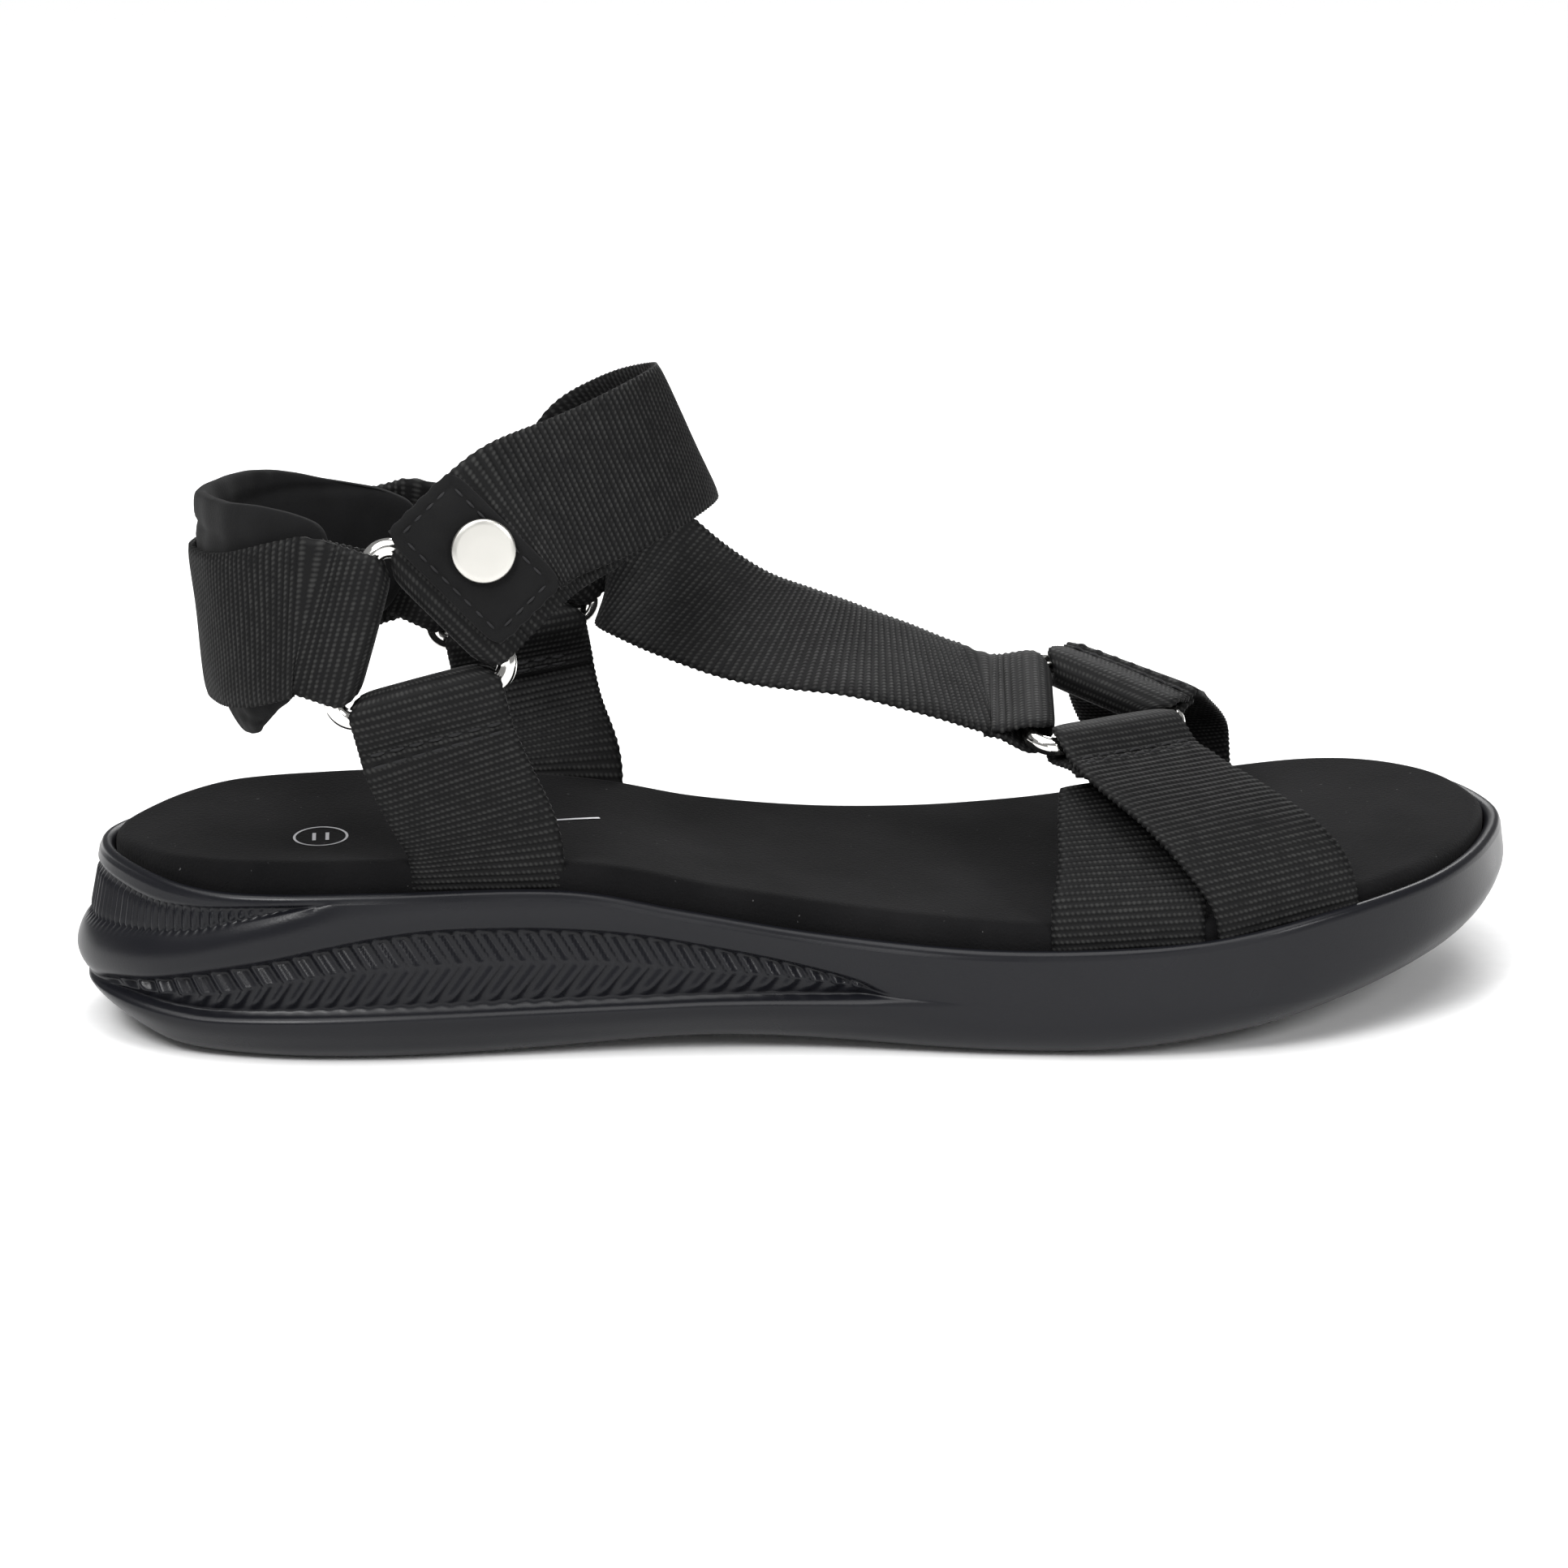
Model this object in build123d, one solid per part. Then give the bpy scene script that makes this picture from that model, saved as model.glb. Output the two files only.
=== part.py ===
from build123d import *
import math
import os

# Strappy sport sandal for a right foot, EU size 37, in millimetres.
#
# +X points to the toe, +Y to the inner (big toe) side of the foot, +Z up. The origin is the middle of
# the sole's footprint on the ground. A moulded sole carries a covered footbed. Webbing straps come out
# between the two and meet at three wire rings: one on each side of the ankle and one over the forefoot.
# The long strap is sewn to the forefoot ring, crosses the instep, turns back through the inner ankle
# ring and comes over the front of the ankle. Its end closes on a short strap sewn to the outer ring,
# with hook and loop tape and a press stud under a stitched patch.

# ---------------------------------------------------------------- driving sizes
SOLE_LENGTH = 250.0
SOLE_WIDTH = 89.5
LIP_WIDTH = 3.6              # rim of the sole that shows round the footbed
RECESS_DEPTH = 5.0           # from the rim down to the seat of the insole board
BOTTOM_ROUND = 6.5
RIM_ROUND = 1.0
BOARD_THICKNESS = 1.6
COVER_THICKNESS = 1.1
TREAD_WIDTH = 2.4
TREAD_DEPTH = 1.6
TREAD_PITCH = 9.0

WEB_WIDTH = 25.0
WEB_THICKNESS = 1.3
TUCK = 12.0                  # length of strap held under the insole board
STAND_UP = 5.0               # straight run of a strap above the rim, past the footbed's edge

RING_SIDE = 33.4             # sharp corner to sharp corner, on the wire's centre line
RING_CORNER = 3.4
RING_WIRE = 3.2
RING_CLEARANCE = 0.35        # wire to webbing, either side
LOOP_SLACK = 1.0             # further play between the wire and the turn of each loop
LOOP_TAIL = 8.0
RING_LEAN = 7.0              # the two ankle rings lean in at the top, in degrees

PATCH_LENGTH = 14.5
PATCH_THICKNESS = 0.9
CAP_DIAMETER = 10.6
CAP_THICKNESS = 1.4
STUD_DIAMETER = 7.4
FLANGE_THICKNESS = 0.7
NUB_DIAMETER = 3.6
POST_DIAMETER = 2.2
SOCKET_HEIGHT = 1.5
SOCKET_PLATE = 0.4
TAPE_THICKNESS = 0.9
TAPE_WIDTH = 21.0
STUD_AT = 9.6                # from the ring's bar to the middle of the press stud

PAD_THICKNESS = 4.4

END_SHIFT = 3.0              # the closing layer lies this much higher than the short strap
PASS_LENGTH = 8.0            # flat run of the long strap either side of its turn
STUD_TAIL = 15.0

FIT = 0.05                   # between pieces that lie against each other
NUB_FIT = 0.1                # round the nub of the press stud
SWING_GAP = 0.4              # between pieces that move against each other

# Footprint of a right foot as shares of length and width: down the outer side, up the inner side.
OUTLINE = [
    (-0.500, 0.000), (-0.486, -0.140), (-0.446, -0.262), (-0.380, -0.335), (-0.300, -0.366),
    (-0.200, -0.366), (-0.100, -0.374), (0.000, -0.402), (0.100, -0.456), (0.180, -0.490),
    (0.240, -0.500), (0.305, -0.484), (0.368, -0.418), (0.420, -0.320), (0.462, -0.185),
    (0.492, -0.020), (0.500, 0.120), (0.485, 0.290), (0.448, 0.405), (0.388, 0.476),
    (0.315, 0.4985), (0.240, 0.492), (0.160, 0.457), (0.080, 0.400), (0.000, 0.355),
    (-0.080, 0.326), (-0.180, 0.330), (-0.280, 0.352), (-0.380, 0.335), (-0.446, 0.262),
    (-0.486, 0.140),
]
# Heights along the foot: distance from the middle as a share of the length, height in mm.
UNDERSIDE = [
    (-0.56, 22.0), (-0.50, 7.5), (-0.46, 2.0), (-0.40, 0.0), (-0.23, 0.0), (-0.08, 1.9),
    (0.06, 0.3), (0.14, 0.0), (0.20, 0.9), (0.285, 4.1), (0.37, 8.4), (0.45, 12.6), (0.50, 16.6),
    (0.56, 22.5),
]
RIM = [
    (-0.56, 32.5), (-0.47, 30.4), (-0.40, 29.0), (-0.30, 29.3), (-0.18, 28.9), (-0.10, 25.0),
    (-0.02, 21.3), (0.06, 19.2), (0.14, 18.8), (0.24, 20.3), (0.33, 23.8), (0.42, 26.0),
    (0.50, 26.6), (0.56, 26.8),
]
FOOTBED_TOP = [
    (-0.56, 34.5), (-0.47, 33.4), (-0.38, 33.2), (-0.26, 33.2), (-0.15, 31.8), (-0.07, 28.0),
    (0.02, 24.6), (0.12, 22.6), (0.20, 22.6), (0.30, 25.2), (0.40, 27.8), (0.50, 28.6), (0.56, 28.8),
]

# Sizes that follow from the ones above.
SEAT = (WEB_THICKNESS + FIT) / 2                   # middle of the ring plane to either loop layer
TURN = RING_WIRE / 2 + RING_CLEARANCE + WEB_THICKNESS / 2
LAYER_GAP = WEB_THICKNESS + SOCKET_HEIGHT + FLANGE_THICKNESS + SWING_GAP + 2 * FIT
FOOTBED_INSET = LIP_WIDTH + 2 * FIT


# Free runs of the straps between the rim and a ring: place and width direction.
QUARTER_LATERAL = [((-59.0, -31.3, 42.0), (1, 0.0, 0.15))]
QUARTER_MEDIAL = [((-46.0, 31.8, 40.0), (1, 0.0, 0.25))]
FORE_LATERAL = [
    ((71.8, -38.0, 31.0), (0.97, 0.2, 0.12)),
    ((66.0, -32.5, 37.0), (0.95, 0.3, 0.08)),
]
FORE_MEDIAL = [
    ((69.0, 40.4, 31.0), (0.99, -0.1, 0.12)),
    ((66.3, 36.8, 36.0), (0.98, -0.2, 0.06)),
    ((61.5, 28.0, 43.5), (0.95, -0.3, 0.0)),
]
# Where each strap goes in at the rim: place along the foot, and side (-1 outer, 1 inner).
ANCHORS = {
    "quarter_lateral": (-56.5, -1),
    "quarter_medial": (-43.5, 1),
    "fore_lateral": (74.4, -1),
    "fore_medial": (69.5, 1),
    "rear_leg": (47.4, -1),
}

INSET_POINTS = 60            # points that carry the drawn-in footprint
EDGE_POINTS = 600            # places tried along the rim when a strap is set in it
TREAD_LENGTH_SHARE = 0.86    # part of the length and width that the tread covers
TREAD_WIDTH_SHARE = 0.55
TALL = 60.0                  # height of the prisms that the profiles cut, above everything moulded

# Places in the lists of stations.
HINGE_STATION = 15
SHORT_STRAP_STATIONS = 13
FLAP_TAPED = slice(5, 12)
SHORT_TAPED = slice(14, 20)
PAD_ROWS = [
    (0, 4.8, 87.5, 62.0), (2, 4.5, 91.3, 57.0), (4, 3.4, 91.8, 52.5), (6, 3.1, 90.8, 50.0),
    (8, 3.1, 89.8, 49.0), (10, 3.1, 89.2, 50.0), (12, 3.1, 88.6, 52.5), (14, 3.4, 87.8, 57.0),
    (16, 4.2, 86.8, 59.5), (18, 4.6, 85.6, 60.5), (20, 4.8, 82.5, 61.5),
]


# ---------------------------------------------------------------- curves and directions
def unit(v):
    return v.normalized()


def smooth(points, spans=4):
    """Points along a Catmull-Rom curve through the given ones, as lists of numbers."""
    first = [2 * a - b for a, b in zip(points[0], points[1])]
    last = [2 * a - b for a, b in zip(points[-1], points[-2])]
    pts = [first, *points, last]
    out = []
    for i in range(1, len(pts) - 2):
        p0, p1, p2, p3 = pts[i - 1:i + 3]
        for k in range(spans):
            t = k / spans
            out.append([
                0.5 * (2 * b + (c - a) * t + (2 * a - 5 * b + 4 * c - d) * t * t
                       + (3 * b - a - 3 * c + d) * t ** 3)
                for a, b, c, d in zip(p0, p1, p2, p3)
            ])
    out.append(list(points[-1]))
    return out


def height(profile, x):
    """Height of a lengthwise profile at x."""
    points = [(share * SOLE_LENGTH, z) for share, z in smooth(profile)]
    for (x0, z0), (x1, z1) in zip(points, points[1:]):
        if x <= x1:
            return z0 + (z1 - z0) * (x - x0) / (x1 - x0)
    return points[-1][1]


class Ring:
    """A three-sided wire ring. Side k lies opposite corner k and its strap leaves square to it."""

    def __init__(self, centre, normal, along, first_corner):
        self.centre = Vector(*centre)
        self.normal = unit(Vector(*normal))
        flat = Vector(*along)
        self.e1 = unit(flat - self.normal * flat.dot(self.normal))
        self.e2 = self.normal.cross(self.e1)
        self.first_corner = first_corner

    def direction(self, degrees):
        a = math.radians(degrees)
        return self.e1 * math.cos(a) + self.e2 * math.sin(a)

    def side(self, k):
        """Middle of side k and the way its strap leaves."""
        leave = self.direction(self.first_corner + 120 * k + 180)
        return self.centre + leave * (RING_SIDE / (2 * math.sqrt(3))), leave

    def solid(self):
        plane = Plane(origin=self.centre, x_dir=self.direction(self.first_corner), z_dir=self.normal)
        reach = RING_SIDE / math.sqrt(3)
        corners = [Vector(reach, 0).rotate(Axis.Z, 120 * k) for k in range(3)]
        path = Wire.make_polygon(corners, close=True)
        path = path.fillet_2d(RING_CORNER, path.vertices())
        wire = Plane(origin=path @ 0.0, z_dir=path % 0.0) * Circle(RING_WIRE / 2)
        return plane * sweep(wire, path=path)


def lean(side):
    """Outward normal of an ankle ring: side is -1 on the outer side of the foot, 1 on the inner."""
    a = math.radians(RING_LEAN)
    return (0, side * math.cos(a), math.sin(a))


# First corners point up on the ankle rings and forward on the forefoot ring.
OUTER_RING = Ring((-68.2, -32.0, 71.3), lean(-1), (1, 0, 0), 103.5)
INNER_RING = Ring((-50.8, 32.0, 66.3), lean(1), (-1, 0, 0), 80.0)
FORE_RING = Ring((46.8, -1.5, 49.0), (0.118, -0.276, 0.954), (1, -0.09, -0.15), 0.0)


# ---------------------------------------------------------------- webbing
def frames(stations):
    """Middle, along, across, normal and width of each station, with the three directions square."""
    out = []
    for i, (middle, across, width) in enumerate(stations):
        before = stations[max(i - 1, 0)][0]
        after = stations[min(i + 1, len(stations) - 1)][0]
        along = unit(after - before)
        normal = unit(along.cross(across))
        out.append((middle, along, normal.cross(along), normal, width))
    return out


def ribbon(stations, thickness, lift=0.0, width=None, part=slice(None)):
    """A strip of the given thickness through the stations, or part of them, lift off their middle."""
    wires = []
    for middle, _, across, normal, own in frames(stations)[part]:
        side = (width or own) / 2
        corners = [
            middle + across * (side * s) + normal * (lift + thickness / 2 * r)
            for s, r in ((-1, -1), (1, -1), (1, 1), (-1, 1))
        ]
        wires.append(Wire.make_polygon(corners, close=True))
    return Solid.make_loft(wires, ruled=True)


def webbing(stations):
    return ribbon(stations, WEB_THICKNESS)


def lifted(stations, lift, shift=0.0):
    """The stations moved along their normal, and sideways by a part that fades to the far end."""
    last = len(stations) - 1
    return [
        (middle + normal * lift + across * (shift * (1 - i / last)), across, width)
        for i, (middle, _, across, normal, width) in enumerate(frames(stations))
    ]


def same_way(stations, across):
    """Turns the width directions over, if needed, so that the first points the given way."""
    sign = 1 if stations[0][1].dot(across) > 0 else -1
    return [(middle, direction * sign, width) for middle, direction, width in stations]


def join(start, points, end=()):
    """Start, a smooth run through (place, across) points, and end, as one list of stations."""
    way = start[-1][1]
    via = []
    for place, across in points:
        via += same_way([(Vector(*place), unit(Vector(*across)), WEB_WIDTH)], way)
        way = via[-1][1]
    tail = same_way(end, way) if end else []
    anchors = start[-2:] + via + tail[:2]
    fine = smooth([[*middle, *across] for middle, across, _ in anchors])
    stop = len(fine) - 5 if end else len(fine)
    run = [(Vector(*row[:3]), unit(Vector(*row[3:])), WEB_WIDTH) for row in fine[5:stop]]
    return start + run + tail


def loop(ring, k, tail=LOOP_TAIL):
    """Stations of a webbing end turned round side k, from its tail on the foot side outwards."""
    middle, leave = ring.side(k)
    outward = ring.normal
    across = leave.cross(outward)
    inner = [(tail, -SEAT), (5.5, -SEAT), (3.2, -TURN * 0.6), (0.5, -TURN)]
    arc = [
        (-LOOP_SLACK - TURN * math.sin(math.radians(a)), -TURN * math.cos(math.radians(a)))
        for a in range(0, 181, 30)
    ]
    outer = [(0.5, TURN), (3.2, TURN * 0.6), (5.5, SEAT), (tail + 0.5, SEAT)]
    stations = []
    for u, v in inner + arc + outer:
        room = RING_SIDE - 2 * FIT - math.sqrt(3) * (WEB_THICKNESS - 2 * u)
        stations.append((middle + leave * u + outward * v, across, min(WEB_WIDTH, room)))
    return stations


def backwards(stations):
    return list(reversed(stations))


def flat_run(ring, k, distances, v, sideways=0.0):
    """Stations in line with side k at the given distances from it, v outside the ring's plane."""
    middle, leave = ring.side(k)
    across = leave.cross(ring.normal)
    origin = middle + ring.normal * v + across * sideways
    return [(origin + leave * u, across, WEB_WIDTH) for u in distances]


# ---------------------------------------------------------------- sole and footbed
def outline_face(inset=0.0):
    """The footprint, drawn in by inset all round."""
    points = [(x * SOLE_LENGTH, y * SOLE_WIDTH) for x, y in OUTLINE]
    curve = Spline(*points, periodic=True)
    if inset > 0:
        shares = [i / INSET_POINTS for i in range(INSET_POINTS)]
        moved = [curve.position_at(t) + inward_of(curve.tangent_at(t)) * inset for t in shares]
        curve = Spline(*moved, periodic=True)
    return make_face(curve).face()


def inward_of(tangent):
    """The footprint runs down the outer side and up the inner side, so its inside is on the left."""
    return Vector(-tangent.Y, tangent.X)


def prism(inset):
    return extrude(outline_face(inset), TALL)


def band(lower, lower_shift, upper, upper_shift):
    """Everything between two lengthwise profiles."""
    low = [(x * SOLE_LENGTH, z + lower_shift) for x, z in smooth(lower, 2)]
    high = [(x * SOLE_LENGTH, z + upper_shift) for x, z in smooth(upper, 2)]
    edges = [Spline(*low), Spline(*high), Line(low[0], high[0]), Line(low[-1], high[-1])]
    face = Plane.XZ.offset(-SOLE_WIDTH) * make_face(edges).face()
    return extrude(face, 2 * SOLE_WIDTH)


def rim_point(x, side):
    """Where a strap goes down inside the rim at x: place at rim height, inward and forward directions."""
    wire = outline_face(LIP_WIDTH + WEB_THICKNESS / 2 + FIT).outer_wire()
    places = [wire.position_at(i / EDGE_POINTS) for i in range(EDGE_POINTS)]
    chosen = min((p for p in places if p.Y * side > 0), key=lambda p: abs(p.X - x))
    i = places.index(chosen)
    forward = unit(places[(i + 6) % EDGE_POINTS] - places[i - 6])
    if forward.X < 0:
        forward = forward * -1
    inward = unit(Vector(-forward.Y, forward.X) * -side)
    return Vector(chosen.X, chosen.Y, height(RIM, x)), inward, forward


def anchor_frame(x, side):
    """Place at the rim, inward, width and downward directions of a strap going in at x."""
    place, inward, forward = rim_point(x, side)
    rise = height(RIM, x + WEB_WIDTH / 2) - height(RIM, x - WEB_WIDTH / 2)
    across = unit(forward + Vector(0, 0, rise / WEB_WIDTH))
    down = unit(across.cross(inward))
    if down.Z > 0:
        down = down * -1
    return place, inward, across, down


def anchor(x, side):
    """Stations of a strap from just above the rim, down and under the insole board."""
    place, inward, across, down = anchor_frame(x, side)
    floor = RECESS_DEPTH + WEB_THICKNESS / 2
    path = [(0, -STAND_UP), (0, floor - 2.0), (0.6, floor - 0.6), (2.0, floor), (TUCK, floor)]
    return [(place + inward * u + down * z, across, WEB_WIDTH) for u, z in path]


def anchor_pocket(x, side):
    """Room for the strap of anchor() in the sole and the footbed."""
    place, inward, across, down = anchor_frame(x, side)
    half = WEB_THICKNESS / 2 + FIT
    floor = RECESS_DEPTH + WEB_THICKNESS / 2
    bend = 2.0 + half
    corners = [
        (-half, -15.0), (-half, floor + half), (TUCK + FIT, floor + half), (TUCK + FIT, floor - half),
        (bend, floor - half), (half, floor - bend), (half, -15.0),
    ]
    points = [place + inward * u + down * z for u, z in corners]
    face = make_face(Polyline(*points, close=True))
    return extrude(face, WEB_WIDTH / 2 + FIT, dir=across, both=True)


def tread(sole):
    """Straight grooves across the underside, following its rise at the toe."""
    count = int(SOLE_LENGTH * TREAD_LENGTH_SHARE / TREAD_PITCH)
    for i in range(count):
        x = (i - (count - 1) / 2) * TREAD_PITCH
        z = height(UNDERSIDE, x) + TREAD_DEPTH
        groove = Box(
            TREAD_WIDTH, SOLE_WIDTH * TREAD_WIDTH_SHARE, TALL, align=(Align.CENTER, Align.CENTER, Align.MAX)
        )
        sole -= Pos(x, 0, z) * groove
    return sole


def make_sole(cutters):
    body = prism(0.0) & band(UNDERSIDE, 0.0, RIM, 0.0)
    rim = body.faces().sort_by(Axis.Z)[-1].edges()
    wall = max(body.faces(), key=lambda face: len(face.edges())).edges()
    lower = [edge for edge in wall if edge not in rim and abs(edge.tangent_at(0.5).Z) < 0.9]
    body = fillet(lower, BOTTOM_ROUND)
    body = fillet(body.faces().sort_by(Axis.Z)[-1].edges(), RIM_ROUND)
    body -= prism(LIP_WIDTH) & band(RIM, -RECESS_DEPTH, RIM, 20.0)
    body = tread(body)
    for cutter in cutters:
        body -= cutter
    return max(body.solids(), key=lambda solid: solid.volume)


def make_footbed(lower, lower_shift, upper, upper_shift, inset, cutters):
    body = prism(inset) & band(lower, lower_shift, upper, upper_shift)
    for cutter in cutters:
        body -= cutter
    return body


# ---------------------------------------------------------------- straps
def leg(ring, k, points, x, side):
    """A strap from its tuck under the insole board up and round side k of a ring."""
    return join(backwards(anchor(x, side)), points, backwards(loop(ring, k)))


def heel_stations():
    points = [
        ((-97.0, -21.5, 71.5), (0.02, 0, 1)),
        ((-102.6, 0.0, 68.9), (-0.09, 0, 1)),
        ((-97.0, 21.0, 68.0), (0.02, 0, 1)),
        ((-84.0, 29.0, 68.6), (0.05, 0, 1)),
    ]
    return join(loop(OUTER_RING, 2), points, backwards(loop(INNER_RING, 1)))


def rear_leg_stations():
    """Ends raw under the front leg's tail, which it is sewn to."""
    points = [
        ((49.4, -35.5, 29.0), (1, 0.02, 0.02)),
        ((50.6, -27.0, 34.6), (1, 0.1, 0.02)),
        ((52.0, -19.0, 38.6), (1, 0.22, 0.02)),
        ((52.6, -15.0, 40.2), (1, 0.3, 0.02)),
    ]
    return join(backwards(anchor(*ANCHORS["rear_leg"])), points)


def over_ankle():
    """The outer layer from its free end at the outer ring, over the ankle, to the inner ring."""
    start = flat_run(OUTER_RING, 1, (1.0, 5.0, 9.0, 13.0, 15.6, 17.0), SEAT + LAYER_GAP, -END_SHIFT)
    points = [
        ((-37.5, -23.5, 95.0), (-0.50, 0.12, 0.86)),
        ((-27.0, -13.5, 97.8), (-0.43, 0.00, 0.90)),
        ((-21.0, 1.0, 98.2), (-0.40, -0.12, 0.91)),
        ((-25.5, 16.0, 95.3), (-0.45, -0.12, 0.88)),
        ((-34.5, 28.0, 88.3), (-0.56, -0.10, 0.82)),
    ]
    return join(start, points, backwards(loop(INNER_RING, 2, PASS_LENGTH)))


def instep_stations():
    """The long strap from its sewn end on the forefoot ring to its turn in the inner ring."""
    points = [
        ((18.0, -3.0, 57.2), (0.05, 0.93, 0.36)),
        ((3.4, -3.0, 61.7), (0.0, 0.90, 0.43)),
        ((-10.0, 2.5, 63.8), (-0.05, 0.86, 0.50)),
        ((-22.5, 11.5, 68.2), (-0.18, 0.77, 0.60)),
        ((-32.5, 21.5, 74.0), (-0.42, 0.48, 0.74)),
    ]
    return join(loop(FORE_RING, 0), points, loop(INNER_RING, 2, PASS_LENGTH))


def hinge_split():
    """The outer layer as two lists, moving end first, with the hinge's middle and axis."""
    stations = over_ankle()
    before, after = stations[:HINGE_STATION], stations[HINGE_STATION + 1:]
    middle, along, across, normal, width = frames(stations)[HINGE_STATION]
    flap = before + [(middle - along * SWING_GAP / 2, across, width)]
    fixed = [(middle + along * SWING_GAP / 2, across, width)] + after
    return flap, fixed, middle - normal * WEB_THICKNESS / 2, across


def long_strap_stations():
    fixed = hinge_split()[1]
    start = instep_stations()
    turned = len(loop(INNER_RING, 2, PASS_LENGTH))
    return start + same_way(backwards(fixed)[turned:], start[-1][1])


def short_strap_stations():
    start = loop(OUTER_RING, 1, STUD_TAIL)
    over = lifted(hinge_split()[0], LAYER_GAP, END_SHIFT)[7:SHORT_STRAP_STATIONS]
    return start + same_way(over, start[-1][1])


def pad_stations():
    """Pad inside the heel strap: lift off the strap, top and bottom height at chosen stations."""
    stations = frames(heel_stations())
    first = len(loop(OUTER_RING, 2)) - 1
    out = []
    for step, lift, top, bottom in PAD_ROWS:
        middle, _, across, normal, _ = stations[first + step]
        level = (top + bottom) / 2 - middle.Z
        out.append((middle + normal * lift + Vector(0, 0, level), across, top - bottom))
    return out


# ---------------------------------------------------------------- press stud and closure
def stud_cylinder(diameter, low, high):
    """Cylinder on the press stud's line between two distances outside the outer ring's plane."""
    middle, leave = OUTER_RING.side(1)
    across = leave.cross(OUTER_RING.normal)
    origin = middle + leave * STUD_AT - across * END_SHIFT + OUTER_RING.normal * low
    plane = Plane(origin=origin, x_dir=leave, z_dir=OUTER_RING.normal)
    return plane * extrude(Circle(diameter / 2), high - low)


def stud_levels():
    """Outer faces of the short strap and of the outer layer's inside, and the patch's top."""
    short_face = SEAT + WEB_THICKNESS / 2
    flap_inside = SEAT + LAYER_GAP - WEB_THICKNESS / 2
    patch_top = flap_inside + WEB_THICKNESS + FIT + PATCH_THICKNESS
    return short_face, flap_inside, patch_top


def post_hole():
    return stud_cylinder(POST_DIAMETER + 2 * FIT, -6.0, 12.0)


def make_stud():
    face, _, _ = stud_levels()
    nub = SWING_GAP + (SOCKET_HEIGHT - SOCKET_PLATE) * 0.8
    flange_top = face + FIT + FLANGE_THICKNESS
    body = stud_cylinder(STUD_DIAMETER, face + FIT, flange_top)
    body += stud_cylinder(NUB_DIAMETER, face + FIT, flange_top + nub)
    return body + stud_cylinder(POST_DIAMETER, -face - FIT - FLANGE_THICKNESS, face + 2 * FIT)


def make_stud_back():
    face, _, _ = stud_levels()
    return stud_cylinder(STUD_DIAMETER, -face - FIT - FLANGE_THICKNESS, -face - FIT) - post_hole()


def make_socket():
    _, inside, _ = stud_levels()
    low = inside - FIT - SOCKET_HEIGHT
    body = stud_cylinder(STUD_DIAMETER + 1.0, low, inside - FIT)
    body -= stud_cylinder(NUB_DIAMETER + 2 * NUB_FIT, low - 1.0, low + SOCKET_HEIGHT - SOCKET_PLATE)
    return body - post_hole()


def make_cap():
    _, inside, top = stud_levels()
    head = stud_cylinder(CAP_DIAMETER, top + FIT, top + FIT + CAP_THICKNESS)
    rim = head.edges().sort_by(Axis(OUTER_RING.centre, OUTER_RING.normal))[-1]
    head = fillet(rim, CAP_THICKNESS * 0.4)
    return head + stud_cylinder(POST_DIAMETER, inside - FIT - SOCKET_PLATE, top + 2 * FIT)


def make_patch():
    _, _, top = stud_levels()
    ends = (0.6, 9.0, 0.6 + PATCH_LENGTH)
    stations = flat_run(OUTER_RING, 1, ends, top - PATCH_THICKNESS / 2, -END_SHIFT)
    return ribbon(stations, PATCH_THICKNESS) - post_hole()


def tape(stations, side, part):
    """Hook or loop tape on a strap: side 1 is the face towards the foot, -1 the face away from it."""
    reach = (WEB_THICKNESS + TAPE_THICKNESS) / 2 + FIT
    return ribbon(stations, TAPE_THICKNESS, side * reach, TAPE_WIDTH, part)


# ---------------------------------------------------------------- the whole sandal
def export(name, shape):
    solids = shape.solids()
    result = solids[0] if len(solids) == 1 else Compound(children=list(solids))
    export_step(result, f"parts/{name}.step")


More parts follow.
